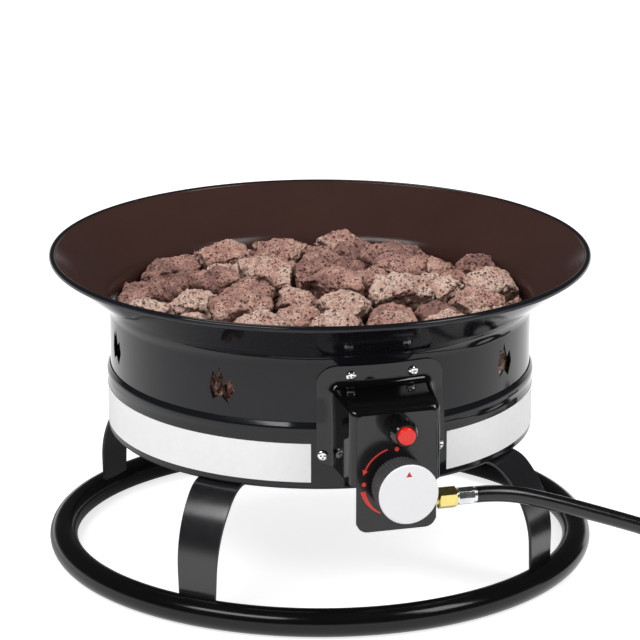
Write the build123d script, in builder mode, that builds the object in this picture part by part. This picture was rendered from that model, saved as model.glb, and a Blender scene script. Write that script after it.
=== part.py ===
"""A round gas fire pit: a flared steel bowl of lava rock on a ring stand, with its controls and gas hose.

Sizes are in millimetres. The pit stands on Z = 0 about the bowl's axis, and its controls face -Y.
Azimuths are in degrees, counted from the front (-Y) towards +X. A depth is a distance in front of the
bowl's axis, along -Y.
"""

import math
import os

from build123d import *

os.makedirs("parts", exist_ok=True)

# Shared clearances
overrun = 6.0
seat_gap = 0.2
run_gap = 0.06
slide_gap = 0.35
fastener_sides = 8
screw_sides = 6
fitting_sides = 10
shell_sides = 24
cap_sides = 40

# Fire bowl
bowl_sheet = 1.2
bowl_radius = 188.5
rim_radius = 241.3
rim_height = 278.4
bead_radius = 3.0
flare_start_height = 234.0
bowl_foot_width = 24.0

# Flame vents in the bowl wall
vent_count = 7
vent_first_azimuth = 42.7
vent_width = 24.0
vent_height = 32.0
vent_drop = 29.6
flame_outline_shares = (
    (-0.09, 0.5),
    (-0.19, 0.25),
    (-0.37, 0.37),
    (-0.5, -0.1),
    (-0.38, -0.43),
    (-0.06, -0.28),
    (0.25, -0.5),
    (0.5, -0.12),
    (0.36, 0.22),
    (0.13, 0.06),
)

# Base pan
pan_bottom = 117.0
pan_height = 60.0
pan_sheet = 1.5
pan_gap = 0.6
lip_height = 11.0
lip_out = 1.0
lip_low_share = 0.75
lip_high_share = 0.3
drain_count = 4
drain_length = 16.0
drain_width = 6.0
drain_circle_radius = 140.0

# Base ring
ring_radius = 233.5
ring_tube_radius = 12.5
ring_sides = 10

# Legs
leg_thickness = 3.0
leg_top_width = 43.0
leg_foot_width = 35.0
leg_tab_start = 152.0
leg_line_radius = 228.0
leg_knee_radius = 30.0
leg_shin_radius = 90.0
leg_knee_angle = 45.0
leg_azimuths = {"front_left": -44.0, "front_right": 42.5, "rear_left": -137.5, "rear_right": 136.0}
leg_bolt_radius = 3.0
leg_bolt_circle_radius = 174.0
leg_bolt_head_height = 4.0
leg_bolt_across_flats = 10.0
leg_bolt_stand = 1.5

# Control housing
housing_sheet = 1.2
panel_depth = 231.0
panel_half_width = 35.4
panel_drop = 43.3
panel_corner_radius = 10.0
housing_front_half_width = 39.5
housing_back_half_width = 45.0
housing_back_depth = 185.6
housing_head_room = 16.5
housing_top_rise = 9.5
housing_bottom_drop = 2.0
housing_bottom_rise = 7.5
housing_corner_radius = 7.0
inner_corner_share = 0.58
flange_half_angle = 17.2
flange_top_drop = 6.4
flange_corner_radius = 18.0
flange_low_corner_radius = 8.0
flange_gap = 0.3
flange_step_height = 3.5
housing_screw_radius = 2.0
housing_screw_head_radius = 4.5
housing_screw_head_height = 2.4
housing_screw_tip_stand = 0.9
upper_screw_azimuth = 8.3
upper_screw_drop = 8.9
lower_screw_azimuth = 15.6
lower_screw_rise = 7.9

# Control knob
knob_cap_radius = 26.15
knob_cap_thickness = 2.0
knob_front_depth = 266.0
knob_grip_radius = 25.0
knob_grip_length = 25.0
knob_grip_ridges = 24
knob_ridge_depth = 0.9
knob_hub_radius = 16.0
knob_rest_gap = 5.5
knob_well_radius = 12.5
knob_well_depth = 4.0
knob_socket_end_wall = 6.0

# Gas valve behind the panel
valve_half_width = 15.0
valve_half_height = 16.0
valve_rear_depth = 200.0
valve_neck_radius = 7.0
valve_neck_stand = 0.8
mount_nut_across_flats = 19.0
mount_nut_thickness = 3.0
plug_radius = 7.5
plug_front_wall = 4.5
plug_length = 19.7
plug_socket_depth = 12.0
plug_port_radius = 2.0
plug_cavity_radius = 3.5
plug_cavity_depth = 5.7
stem_radius = 4.0
stem_flat = 1.0
stem_entry = 5.0
valve_spring_wire = 0.8
valve_spring_radius = 2.3
valve_spring_turns = 2
end_cap_radius = 11.0
end_cap_thickness = 3.0
end_cap_spigot_length = 4.6
jet_across_flats = 8.0
jet_hex_length = 2.6
jet_tip_radius = 2.2
jet_tip_length = 2.0
jet_bore_radius = 0.6

# Gas inlet and hose fittings
inlet_depth = 208.0
inlet_drop = 27.5
elbow_radius = 7.5
elbow_bore_radius = 3.5
elbow_stub_radius = 6.0
elbow_shoulder_end = 42.0
hose_nut_start = 44.0
hose_nut_end = 60.0
hose_nut_across_flats = 17.0
ferrule_radius = 8.0
ferrule_length = 18.5
ferrule_ring_depth = 0.7

# Burner
burner_inner_radius = 60.0
burner_outer_radius = 88.0
burner_height = 24.0
burner_lift = 5.5
burner_sheet = 1.0
port_count = 10
port_length = 11.0
port_width = 2.4
venturi_radius = 10.0
venturi_sheet = 1.0
venturi_mouth_radius = 12.5
venturi_mouth_depth = 195.0
venturi_mouth_length = 3.5
venturi_end_entry = 3.0
bracket_count = 3
bracket_first_azimuth = 60.0
bracket_width = 16.0
bracket_sheet = 1.5
bracket_foot_length = 12.0
bracket_screw_radius = 2.0
bracket_screw_head_radius = 3.5
bracket_screw_head_height = 2.0

# Igniter
igniter_rise = 49.0
igniter_body_radius = 11.0
igniter_body_length = 30.8
igniter_neck_radius = 7.9
igniter_neck_length = 10.2
collar_radius = 12.5
collar_length = 26.0
collar_ridges = 18
collar_ridge_depth = 0.8
button_radius = 7.8
button_front_depth = 261.0
button_length = 14.0
button_edge = 1.2
button_stem_radius = 4.0
button_stem_length = 25.0
igniter_bore_length = 28.0
igniter_spring_wire = 0.8
igniter_spring_radius = 2.8
igniter_spring_turns = 3
spring_sides = 4
spring_turn_steps = 8
terminal_radius = 2.0
terminal_length = 2.0
terminal_depth = 204.0

# Spark electrode and its wire
electrode_offset = 24.0
electrode_rise = 7.0
insulator_radius = 4.0
insulator_front_depth = 200.0
insulator_rear_depth = 130.0
insulator_shoulder_radius = 6.5
insulator_shoulder_length = 4.0
insulator_shoulder_gap = 0.5
electrode_radius = 1.25
spark_gap = 0.8
wire_radius = 1.2
wire_sides = 4
wire_bulge = 19.6

# Gas hose: the free stretch, then the coil that takes up the rest of its length
hose_radius = 7.25
hose_sides = 5
cord_arc_share = 0.45
hose_floor_reach = 384.0
hose_lift = 1.6
coil_outer_radius = 101.0
coil_pitch = 15.7
coil_layer_step = 15.1
coil_lower_turns = 2.25
coil_climb_turns = 0.5
coil_upper_turns = 2.5
coil_ease_turns = 0.06
coil_tail_length = 36.0
coil_arc_turns = 0.25
tie_angle = -45.0
tie_sheet = 1.2
tie_width = 14.0
tie_gap = 0.3
tie_side_gap = 0.7
tie_corner = 4.0

# Regulator at the hose's far end
outlet_boss_radius = 9.0
outlet_boss_length = 12.0
regulator_radius = 32.0
regulator_body_height = 36.0
regulator_cover_height = 10.0
regulator_edge = 4.0
vent_cap_radius = 6.0
vent_cap_height = 4.0
inlet_boss_radius = 11.0
inlet_boss_length = 8.0
nipple_neck_radius = 6.5
nipple_shoulder_radius = 9.5
nipple_shoulder_length = 3.0
nipple_tip_radius = 6.0
nipple_tip_length = 8.0
nipple_tip_edge = 1.5
nipple_bore_radius = 2.0
tank_nut_radius = 21.0
tank_nut_length = 32.0
tank_nut_bore_radius = 16.7
tank_nut_back_wall = 7.0
tank_nut_ridges = 12
tank_nut_ridge_depth = 2.0
tank_nut_end_gap = 0.3

# Lava rock
rock_gap = 0.35
rock_wall_gap = 3.8
rock_box_size = 120.0
rock_reach = 120.0
rock_wall_turn = 14.0
middle_rock_count = 12
upper_rock_count = 52
rock_crown_breaks = 3
rock_crown_height = 262.0
rock_crown_fall = 20.0
rock_upper_drop = 30.0
rock_middle_height = 176.0
rock_jitter = 7.0
rock_crown_tilt = 30.0
lower_outer_count = 9
lower_outer_radius = 125.0
lower_outer_edge_radius = 160.0
lower_inner_count = 3
lower_inner_radius = 27.0
lower_gap_azimuth = 42.0
burner_clearance = 2.5

# Values worked out from the sizes above
golden_angle = 180.0 * (3.0 - math.sqrt(5.0))
pan_inner_radius = bowl_radius + pan_gap
pan_radius = pan_inner_radius + pan_sheet
pan_top = pan_bottom + pan_height
pan_floor = pan_bottom + pan_sheet
bowl_foot_top = pan_floor + bowl_sheet
bowl_inner_radius = bowl_radius - bowl_sheet
knob_height = pan_floor + burner_lift + burner_height / 2
igniter_height = knob_height + igniter_rise
electrode_height = knob_height + electrode_rise
inlet_height = knob_height - inlet_drop
vent_centre_height = flare_start_height - vent_drop
panel_bottom = knob_height - panel_drop
housing_top_front = igniter_height + housing_head_room
housing_top_back = housing_top_front + housing_top_rise
housing_bottom_front = knob_height - housing_bottom_drop
housing_bottom_back = housing_bottom_front + housing_bottom_rise
flange_bottom = housing_bottom_back
flange_top = flare_start_height - flange_top_drop
upper_screw_height = flange_top - upper_screw_drop
lower_screw_height = flange_bottom + lower_screw_rise
panel_back_depth = panel_depth - housing_sheet
leg_tab_bottom = pan_bottom - leg_thickness
knob_hub_rear = panel_depth + knob_rest_gap
knob_grip_front = knob_front_depth - knob_cap_thickness
knob_grip_rear = knob_grip_front - knob_grip_length
plug_front = panel_back_depth - plug_front_wall
plug_rear = plug_front - plug_length
stem_rear = plug_front - stem_entry
stem_front = knob_grip_front - knob_socket_end_wall
jet_hex_end = valve_rear_depth - end_cap_thickness - jet_hex_length
burner_bottom = knob_height - burner_height / 2
burner_top = knob_height + burner_height / 2
button_rear = button_front_depth - button_length
button_stem_rear = button_rear - button_stem_length
igniter_neck_front = panel_back_depth + igniter_neck_length
igniter_bore_rear = igniter_neck_front - igniter_bore_length
electrode_tip_depth = burner_outer_radius + spark_gap
terminal_end = igniter_height - igniter_body_radius - terminal_length
rock_floor = burner_top + rock_gap
hose_diameter = 2 * hose_radius
coil_height = hose_lift + hose_radius
hose_start = hose_nut_end + ferrule_length

# The hose's route from the ferrule to the coil, as shares of the way along and of the height left
hose_route_shares = (
    (0.082, 1.0),
    (0.2144, 0.8786),
    (0.365, 0.71),
    (0.5286, 0.5193),
    (0.6858, 0.2975),
    (0.8232, 0.0868),
    (0.9083, 0.0),
)
hose_span = hose_floor_reach - hose_start
hose_fall = inlet_height - coil_height
hose_points = [
    Vector(hose_start, -inlet_depth, inlet_height),
    *(
        Vector(hose_start + along * hose_span, -inlet_depth, coil_height + left * hose_fall)
        for along, left in hose_route_shares
    ),
    Vector(hose_floor_reach, -inlet_depth, coil_height),
]

# The ignition wire's route from the igniter's terminal to the electrode, as shares of the way
# across, of a bulge to the front and of the way down
wire_route_shares = (
    (0.0, 0.0, 0.355),
    (0.046, 0.418, 0.59),
    (0.375, 1.0, 0.521),
    (0.917, 0.944, 0.683),
    (1.0, 0.423, 1.0),
)
wire_fall = terminal_end - electrode_height
wire_points = [
    Vector(0, -terminal_depth, terminal_end),
    *(
        Vector(
            across * electrode_offset,
            -terminal_depth - forward * wire_bulge,
            terminal_end - down * wire_fall,
        )
        for across, forward, down in wire_route_shares
    ),
    Vector(electrode_offset, -insulator_front_depth, electrode_height),
]


def polar(radius, azimuth, height):
    """A point at a plan radius, azimuth and height."""
    turn = math.radians(azimuth)
    return Vector(radius * math.sin(turn), -radius * math.cos(turn), height)


def radial_plane(azimuth):
    """The upright plane through the bowl's axis whose local X points outwards at an azimuth."""
    return Plane(origin=(0, 0, 0), x_dir=polar(1, azimuth, 0), z_dir=polar(1, azimuth - 90, 0))


def facing_plane(azimuth, height):
    """The upright plane on the bowl's axis that faces outwards at an azimuth, centred at a height."""
    return Plane(origin=(0, 0, height), x_dir=polar(1, azimuth + 90, 0), z_dir=polar(1, azimuth, 0))


def front_plane(height, across=0.0):
    """The upright plane on the bowl's axis that faces the front, so that its offset is a depth."""
    return Plane(origin=(across, 0, height), x_dir=(1, 0, 0), z_dir=(0, -1, 0))


def bar(plane, radius, start, end, mode=Mode.ADD, sides=0):
    """A round length along a plane's normal, from one offset to another, or one with flat sides."""
    with BuildSketch(plane.offset(start)) as section:
        if sides:
            RegularPolygon(radius, sides)
        else:
            Circle(radius)
    extrude(section.sketch, amount=end - start, mode=mode)


def fastener_hole(plane, radius, start, end, sides=fastener_sides):
    """A clearance hole for a small fastener's shank."""
    bar(plane, radius + seat_gap, start, end, Mode.SUBTRACT, sides)


def hex_bar(plane, across_flats, start, end):
    """A hexagonal length along a plane's normal, from one offset to another."""
    with BuildSketch(plane.offset(start)) as section:
        RegularPolygon(across_flats / 2, side_count=6, major_radius=False)
    extrude(section.sketch, amount=end - start)


def ridged_bar(plane, radius, depth, ridges, start, end):
    """A length along a plane's normal with straight ridges all round."""
    step = 180.0 / ridges
    reach = [radius - depth * (k % 2) for k in range(2 * ridges)]
    outline = [
        (r * math.cos(math.radians(k * step)), r * math.sin(math.radians(k * step)))
        for k, r in enumerate(reach)
    ]
    with BuildSketch(plane.offset(start)) as section:
        with BuildLine():
            Polyline(*outline, close=True)
        make_face()
    extrude(section.sketch, amount=end - start)


def flatted_bar(plane, radius, flat, start, end, mode=Mode.ADD):
    """A round length with one flat along it, as on a control stem."""
    with BuildSketch(plane.offset(start)) as section:
        Circle(radius)
        with Locations((0, -radius)):
            Rectangle(2 * radius, 2 * flat, mode=Mode.SUBTRACT)
    extrude(section.sketch, amount=end - start, mode=mode)


def route_radii(points):
    """The largest arc that each inner corner of a cord's route allows."""
    radii = []
    for before, corner, after in zip(points, points[1:], points[2:]):
        run_in = corner - before
        run_out = after - corner
        half_turn = math.radians(run_in.get_angle(run_out) / 2)
        shorter = min(run_in.length, run_out.length)
        radii.append(cord_arc_share * shorter / math.tan(half_turn))
    return radii


def biarcs(points, tangents):
    """Draw pairs of tangent arcs through points with given directions, in the line being built."""
    for p, q, t, u in zip(points, points[1:], tangents, tangents[1:]):
        chord = q - p
        both = chord.dot(t + u)
        spread = 2 * (1 - t.dot(u))
        reach = (math.sqrt(both**2 + spread * chord.dot(chord)) - both) / spread
        middle = (p + q + (t - u) * reach) / 2
        heading = (q - u * reach - p - t * reach).normalized()
        TangentArc(p, middle, tangent=t)
        TangentArc(middle, q, tangent=heading)


def directions(place, turns, step):
    """Unit tangents of a curve, given as a function of its turns, at a list of turns."""
    return [(place(t + step) - place(t - step)).normalized() for t in turns]


def save(builder, label):
    """Label a finished piece and write it under its name."""
    builder.part.label = label
    export_step(builder.part, f"parts/{label}.step")


# Fire bowl: a spun wall with a foot, a flare and a rolled bead at the rim
bead_step = bead_radius * math.cos(math.radians(30))
bead_middle = rim_radius - bead_step
flare_end_height = rim_height - 2 * bead_radius
flare_rise = (flare_end_height - flare_start_height) / (bead_middle - bowl_radius)
flare_thickness_up = bowl_sheet * math.hypot(1, flare_rise)
inner_bend = flare_start_height + flare_thickness_up - flare_rise * bowl_sheet
inner_edge = flare_end_height + flare_thickness_up - flare_rise * bead_step

with BuildPart() as fire_bowl:
    with BuildSketch(Plane.XZ):
        with BuildLine():
            Polyline(
                (bowl_radius - bowl_foot_width, pan_floor),
                (bowl_radius, pan_floor),
                (bowl_radius, flare_start_height),
                (bead_middle, flare_end_height),
                (rim_radius, flare_end_height + bead_radius / 2),
                (rim_radius, rim_height - bead_radius / 2),
                (bead_middle, rim_height),
                (bead_middle - bead_step, rim_height - bead_radius / 2),
                (bead_middle - bead_step, inner_edge),
                (bowl_inner_radius, inner_bend),
                (bowl_inner_radius, bowl_foot_top),
                (bowl_radius - bowl_foot_width, bowl_foot_top),
                close=True,
            )
        make_face()
    revolve(axis=Axis.Z)

    # Each vent is a small flame with three tongues, cut through the wall
    vent_step = (360.0 - 2 * vent_first_azimuth) / (vent_count - 1)
    for k in range(vent_count):
        with BuildSketch(facing_plane(vent_first_azimuth + k * vent_step, vent_centre_height)) as flame:
            outline = [(x * vent_width, y * vent_height) for x, y in flame_outline_shares]
            with BuildLine():
                Polyline(*outline, close=True)
            make_face()
        extrude(amount=bowl_radius + overrun, mode=Mode.SUBTRACT)

    # Holes for the leg bolts, the burner's inlet, the electrode and the housing's screws
    for azimuth in leg_azimuths.values():
        hole = Plane(polar(leg_bolt_circle_radius, azimuth, pan_bottom))
        fastener_hole(hole, leg_bolt_radius, 0, overrun)
    knob_axis = front_plane(knob_height)
    bar(knob_axis, venturi_radius + slide_gap, 0, panel_depth, Mode.SUBTRACT, fitting_sides)
    electrode_axis = front_plane(electrode_height, electrode_offset)
    bar(electrode_axis, insulator_radius + slide_gap, 0, panel_depth, Mode.SUBTRACT, fastener_sides)
    screw_places = [(s * upper_screw_azimuth, upper_screw_height) for s in (-1, 1)]
    screw_places += [(s * lower_screw_azimuth, lower_screw_height) for s in (-1, 1)]
    for azimuth, height in screw_places:
        fastener_hole(facing_plane(azimuth, height), housing_screw_radius, 0, panel_depth, screw_sides)
save(fire_bowl, "fire_bowl")

# Base pan: a flat floor, a straight wall and a rolled lip round the top
with BuildPart() as base_pan:
    with BuildSketch(Plane.XZ):
        with BuildLine():
            Polyline(
                (0, pan_bottom),
                (pan_radius, pan_bottom),
                (pan_radius, pan_top - lip_height),
                (pan_radius + lip_out, pan_top - lip_low_share * lip_height),
                (pan_radius + lip_out, pan_top - lip_high_share * lip_height),
                (pan_radius, pan_top),
                (pan_inner_radius, pan_top),
                (pan_inner_radius, pan_floor),
                (0, pan_floor),
                close=True,
            )
        make_face()
    revolve(axis=Axis.Z)
    with BuildSketch(Plane.XY.offset(pan_bottom)) as drains:
        with PolarLocations(drain_circle_radius, drain_count):
            Rectangle(drain_length, drain_width)
    extrude(amount=overrun, mode=Mode.SUBTRACT)
    for azimuth in leg_azimuths.values():
        hole = Plane(polar(leg_bolt_circle_radius, azimuth, pan_bottom))
        fastener_hole(hole, leg_bolt_radius, 0, overrun)
    for k in range(bracket_count):
        azimuth = bracket_first_azimuth + k * 360.0 / bracket_count
        bracket_circle_radius = burner_inner_radius - bracket_foot_length / 2
        hole = Plane(polar(bracket_circle_radius, azimuth, pan_bottom))
        fastener_hole(hole, bracket_screw_radius, 0, overrun)
    bar(knob_axis, venturi_radius + slide_gap, 0, panel_depth, Mode.SUBTRACT, fitting_sides)
    bar(electrode_axis, insulator_radius + slide_gap, 0, panel_depth, Mode.SUBTRACT, fastener_sides)
    for azimuth, height in screw_places[2:]:
        fastener_hole(facing_plane(azimuth, height), housing_screw_radius, 0, panel_depth, screw_sides)
save(base_pan, "base_pan")

# Base ring: a bent tube that lies on the floor
with BuildPart() as base_ring:
    with BuildSketch(Plane.XZ):
        with Locations((ring_radius, ring_tube_radius)):
            flat_turn = 90.0 + 180.0 / ring_sides
            RegularPolygon(ring_tube_radius, ring_sides, rotation=flat_turn, major_radius=False)
    revolve(axis=Axis.Z)
save(base_ring, "base_ring")

# Legs: flat straps that leave the pan's underside, curve over and stand on the ring
knee = math.radians(leg_knee_angle)
leg_tab_end = (
    leg_line_radius - leg_knee_radius * math.sin(knee) - leg_shin_radius * (1 - math.sin(knee))
)
ring_reach = ring_tube_radius / math.cos(math.pi / ring_sides) + seat_gap / 2
foot_lean = math.acos((ring_radius - leg_line_radius) / ring_reach)
for place, azimuth in leg_azimuths.items():
    with BuildPart() as leg:
        with BuildSketch(radial_plane(azimuth)) as strap:
            edges_from_line = (leg_thickness / 2, -leg_thickness / 2)
            with BuildLine():
                for stand in edges_from_line:
                    tab_height = pan_bottom - leg_thickness / 2 + stand
                    tab = Line((leg_tab_start, tab_height), (leg_tab_end, tab_height))
                    bend = JernArc(tab @ 1, tab % 1, leg_knee_radius + stand, -leg_knee_angle)
                    shin = JernArc(bend @ 1, bend % 1, leg_shin_radius + stand, leg_knee_angle - 90)
                    Line(shin @ 1, (leg_line_radius + stand, ring_tube_radius))
                Line((leg_tab_start, pan_bottom), (leg_tab_start, leg_tab_bottom))
                Line(
                    (leg_line_radius + leg_thickness / 2, ring_tube_radius),
                    (leg_line_radius - leg_thickness / 2, ring_tube_radius),
                )
            make_face()
        extrude(amount=leg_top_width / 2, both=True)
        with BuildSketch(facing_plane(azimuth, 0)) as taper:
            with BuildLine():
                Polyline(
                    (-leg_top_width / 2, pan_bottom),
                    (leg_top_width / 2, pan_bottom),
                    (leg_top_width / 2, leg_tab_bottom - leg_thickness),
                    (leg_foot_width / 2, ring_tube_radius),
                    (-leg_foot_width / 2, ring_tube_radius),
                    (-leg_top_width / 2, leg_tab_bottom - leg_thickness),
                    close=True,
                )
            make_face()
        extrude(amount=ring_radius, mode=Mode.INTERSECT)
        foot_normal = polar(-math.cos(foot_lean), azimuth, math.sin(foot_lean))
        foot_touch = polar(ring_radius, azimuth, ring_tube_radius) + foot_normal * ring_reach
        split(bisect_by=Plane(origin=foot_touch, z_dir=foot_normal), keep=Keep.TOP)
        hole = Plane(polar(leg_bolt_circle_radius, azimuth, leg_tab_bottom))
        fastener_hole(hole, leg_bolt_radius, -overrun, overrun)
    save(leg, f"leg_{place}")

# Leg bolts and nuts: one of each clamps a leg, the pan and the bowl's foot
leg_nut_height = leg_bolt_head_height
with BuildPart() as leg_bolts:
    for azimuth in leg_azimuths.values():
        bolt_plane = Plane(polar(leg_bolt_circle_radius, azimuth, leg_tab_bottom))
        hex_bar(bolt_plane, leg_bolt_across_flats, -leg_bolt_head_height, 0)
        bolt_end = bowl_foot_top - leg_tab_bottom + leg_nut_height + leg_bolt_stand
        bar(bolt_plane, leg_bolt_radius, 0, bolt_end, sides=fastener_sides)
save(leg_bolts, "leg_bolts")

with BuildPart() as leg_nuts:
    for azimuth in leg_azimuths.values():
        nut_plane = Plane(polar(leg_bolt_circle_radius, azimuth, bowl_foot_top))
        hex_bar(nut_plane, leg_bolt_across_flats, 0, leg_nut_height)
        bar(nut_plane, leg_bolt_radius + run_gap, 0, leg_nut_height, Mode.SUBTRACT, fastener_sides)
save(leg_nuts, "leg_nuts")

# Control housing: a pressed box on a curved flange, open below, with a flat panel that hangs lower
flange_low_radius = pan_radius + lip_out + flange_gap
flange_high_radius = bowl_radius + flange_gap
flange_step_start = pan_top + flange_gap


def housing_block(inset, drop, soften):
    """The box's form, drawn in by a sheet's thickness and run further down to open its underside."""
    front_depth = panel_depth - inset
    depth_span = panel_depth - housing_back_depth
    tail_depth = housing_back_depth - depth_span
    widen = housing_back_half_width - housing_front_half_width
    rise = housing_top_back - housing_top_front
    fall = housing_bottom_back - housing_bottom_front
    with BuildPart() as block:
        for depth, share in ((tail_depth, 2.0), (front_depth, inset / depth_span)):
            half = housing_front_half_width + widen * share - inset
            top = housing_top_front + rise * share - inset
            bottom = housing_bottom_front + fall * share - drop
            with BuildSketch(Plane.XZ.offset(depth)):
                with BuildLine():
                    Polyline((-half, bottom), (half, bottom), (half, top), (-half, top), close=True)
                make_face()
        loft()
        rear_edges = block.faces().sort_by(Axis.Y)[-1].edges()
        low_edges = block.faces().sort_by(Axis.Z)[0].edges()
        soften(block.edges() - rear_edges - low_edges)
    return block.part


def round_edges(edges):
    """The pressed outer corners."""
    fillet(edges, housing_corner_radius)


def cut_edges(edges):
    """The same corners inside, drawn as flats."""
    chamfer(edges, housing_corner_radius * inner_corner_share)


housing_form = housing_block(0.0, 0.0, round_edges)
housing_hollow = housing_block(housing_sheet, panel_depth - housing_back_depth, cut_edges)

with BuildPart() as control_housing:
    with BuildSketch(radial_plane(-flange_half_angle)) as flange_profile:
        with BuildLine():
            Polyline(
                (flange_low_radius, flange_bottom),
                (flange_low_radius, flange_step_start),
                (flange_high_radius, flange_step_start + flange_step_height),
                (flange_high_radius, flange_top),
                (flange_high_radius + housing_sheet, flange_top),
                (flange_high_radius + housing_sheet, flange_step_start + flange_step_height),
                (flange_low_radius + housing_sheet, flange_step_start),
                (flange_low_radius + housing_sheet, flange_bottom),
                close=True,
            )
        make_face()
    revolve(axis=Axis.Z, revolution_arc=2 * flange_half_angle)
    flange_width = 2 * flange_low_radius * math.sin(math.radians(flange_half_angle))
    flange_middle = (flange_top + flange_bottom) / 2
    with BuildSketch(front_plane(flange_middle)) as flange_outline:
        Rectangle(flange_width, flange_top - flange_bottom)
        fillet(flange_outline.vertices().group_by(Axis.Y)[-1], flange_corner_radius)
        fillet(flange_outline.vertices().group_by(Axis.Y)[0], flange_low_corner_radius)
    extrude(amount=panel_depth, mode=Mode.INTERSECT)
    add(housing_form)
    add(housing_hollow, mode=Mode.SUBTRACT)
    with BuildSketch(radial_plane(0)) as bowl_room:
        with BuildLine():
            Polyline(
                (0, 0),
                (flange_low_radius, 0),
                (flange_low_radius, flange_step_start),
                (flange_high_radius, flange_step_start + flange_step_height),
                (flange_high_radius, rim_height),
                (0, rim_height),
                close=True,
            )
        make_face()
    revolve(axis=Axis.Z, mode=Mode.SUBTRACT)
    panel_height = housing_bottom_back + panel_corner_radius - panel_bottom
    with BuildSketch(front_plane(panel_bottom + panel_height / 2).offset(panel_depth)) as panel:
        Rectangle(2 * panel_half_width, panel_height)
        fillet(panel.vertices().group_by(Axis.Y)[0], panel_corner_radius)
    extrude(amount=-housing_sheet)
    igniter_axis = front_plane(igniter_height)
    for axis, radius in ((knob_axis, valve_neck_radius), (igniter_axis, igniter_neck_radius)):
        bar(axis, radius + seat_gap, panel_back_depth, panel_depth, Mode.SUBTRACT, fitting_sides)
    for azimuth, height in screw_places:
        fastener_hole(facing_plane(azimuth, height), housing_screw_radius, 0, panel_depth, screw_sides)
save(control_housing, "control_housing")

# Housing screws: pan heads on the flange, with short shanks into the wall behind it
with BuildPart() as housing_screws:
    for azimuth, height in screw_places:
        seat = flange_high_radius if height > pan_top else flange_low_radius
        head_seat = seat + housing_sheet
        screw_axis = facing_plane(azimuth, height)
        with BuildSketch(screw_axis.offset(head_seat)) as screw_head:
            RegularPolygon(housing_screw_head_radius, fitting_sides)
        extrude(screw_head.sketch, amount=housing_screw_head_height, taper=20)
        tip = bowl_inner_radius - housing_screw_tip_stand
        bar(screw_axis, housing_screw_radius, tip, head_seat, sides=screw_sides)
save(housing_screws, "housing_screws")

# Gas valve: a cast block with a neck through the panel and a bore for its turning plug
neck_front = panel_depth + mount_nut_thickness + valve_neck_stand
with BuildPart() as gas_valve_body:
    with BuildSketch(knob_axis.offset(valve_rear_depth)) as valve_section:
        Rectangle(2 * valve_half_width, 2 * valve_half_height)
        chamfer(valve_section.vertices(), plug_radius / 2)
    extrude(amount=panel_back_depth - valve_rear_depth)
    bar(knob_axis, valve_neck_radius, panel_back_depth, neck_front, sides=fitting_sides)
    bar(knob_axis, plug_radius + run_gap, valve_rear_depth, plug_front + slide_gap, Mode.SUBTRACT)
    bar(knob_axis, stem_radius + run_gap, plug_front, neck_front, Mode.SUBTRACT)
    inlet_plane = Plane((0, -inlet_depth, knob_height - valve_half_height))
    bar(inlet_plane, elbow_bore_radius, 0, valve_half_height, Mode.SUBTRACT, fastener_sides)
save(gas_valve_body, "gas_valve_body")

with BuildPart() as valve_mount_nut:
    nut_front = panel_depth + mount_nut_thickness
    hex_bar(knob_axis, mount_nut_across_flats, panel_depth, nut_front)
    bar(knob_axis, valve_neck_radius + run_gap, panel_depth, nut_front, Mode.SUBTRACT, fitting_sides)
save(valve_mount_nut, "valve_mount_nut")

# Valve plug: it turns in the block, takes the stem in a flatted socket and opens a port to the rear
with BuildPart() as valve_plug:
    bar(knob_axis, plug_radius, plug_rear, plug_front)
    socket_end = plug_front - plug_socket_depth
    flatted_bar(knob_axis, stem_radius + run_gap, stem_flat, socket_end, plug_front, Mode.SUBTRACT)
    cavity_end = plug_rear + plug_cavity_depth
    bar(knob_axis, plug_cavity_radius, plug_rear, cavity_end, Mode.SUBTRACT, fastener_sides)
    port_plane = Plane((0, -plug_rear - plug_cavity_depth / 2, knob_height))
    bar(port_plane, plug_port_radius, 0, plug_radius, Mode.SUBTRACT, fastener_sides)
save(valve_plug, "valve_plug")

with BuildPart() as valve_stem:
    flatted_bar(knob_axis, stem_radius, stem_flat, stem_rear, stem_front)
save(valve_stem, "valve_stem")


def spring_wire(axis_height, radius, wire, turns, start, end):
    """A compression spring along the depth axis, wound from one end to the other."""
    climb = end - start - wire

    def place(turn):
        angle = 2 * math.pi * turn
        depth = start + wire / 2 + climb * turn / turns
        return Vector(radius * math.cos(angle), -depth, axis_height + radius * math.sin(angle))

    points = [place(k / spring_turn_steps) for k in range(spring_turn_steps * turns + 1)]
    with BuildPart() as spring:
        with BuildLine():
            Polyline(*points)
        with BuildSketch(Plane(origin=points[0], z_dir=points[1] - points[0])):
            RegularPolygon(wire / 2, spring_sides)
        sweep(transition=Transition.RIGHT)
    return spring


valve_spring = spring_wire(
    knob_height,
    valve_spring_radius,
    valve_spring_wire,
    valve_spring_turns,
    socket_end + seat_gap,
    stem_rear - seat_gap,
)
save(valve_spring, "valve_spring")

# End cap and jet: they close the valve's bore and aim the gas at the burner's mouth
with BuildPart() as valve_end_cap:
    cap_rear = valve_rear_depth - end_cap_thickness
    bar(knob_axis, end_cap_radius, cap_rear, valve_rear_depth, sides=fitting_sides)
    spigot_front = valve_rear_depth + end_cap_spigot_length
    bar(knob_axis, plug_radius, valve_rear_depth, spigot_front, sides=fitting_sides)
    bar(knob_axis, plug_cavity_radius, cap_rear, spigot_front, Mode.SUBTRACT, fastener_sides)
save(valve_end_cap, "valve_end_cap")

with BuildPart() as orifice_jet:
    hex_bar(knob_axis, jet_across_flats, jet_hex_end, cap_rear)
    jet_end = jet_hex_end - jet_tip_length
    bar(knob_axis, jet_tip_radius, jet_end, jet_hex_end, sides=fastener_sides)
    bar(knob_axis, jet_bore_radius, jet_end, cap_rear, Mode.SUBTRACT, fastener_sides)
save(orifice_jet, "orifice_jet")

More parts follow.
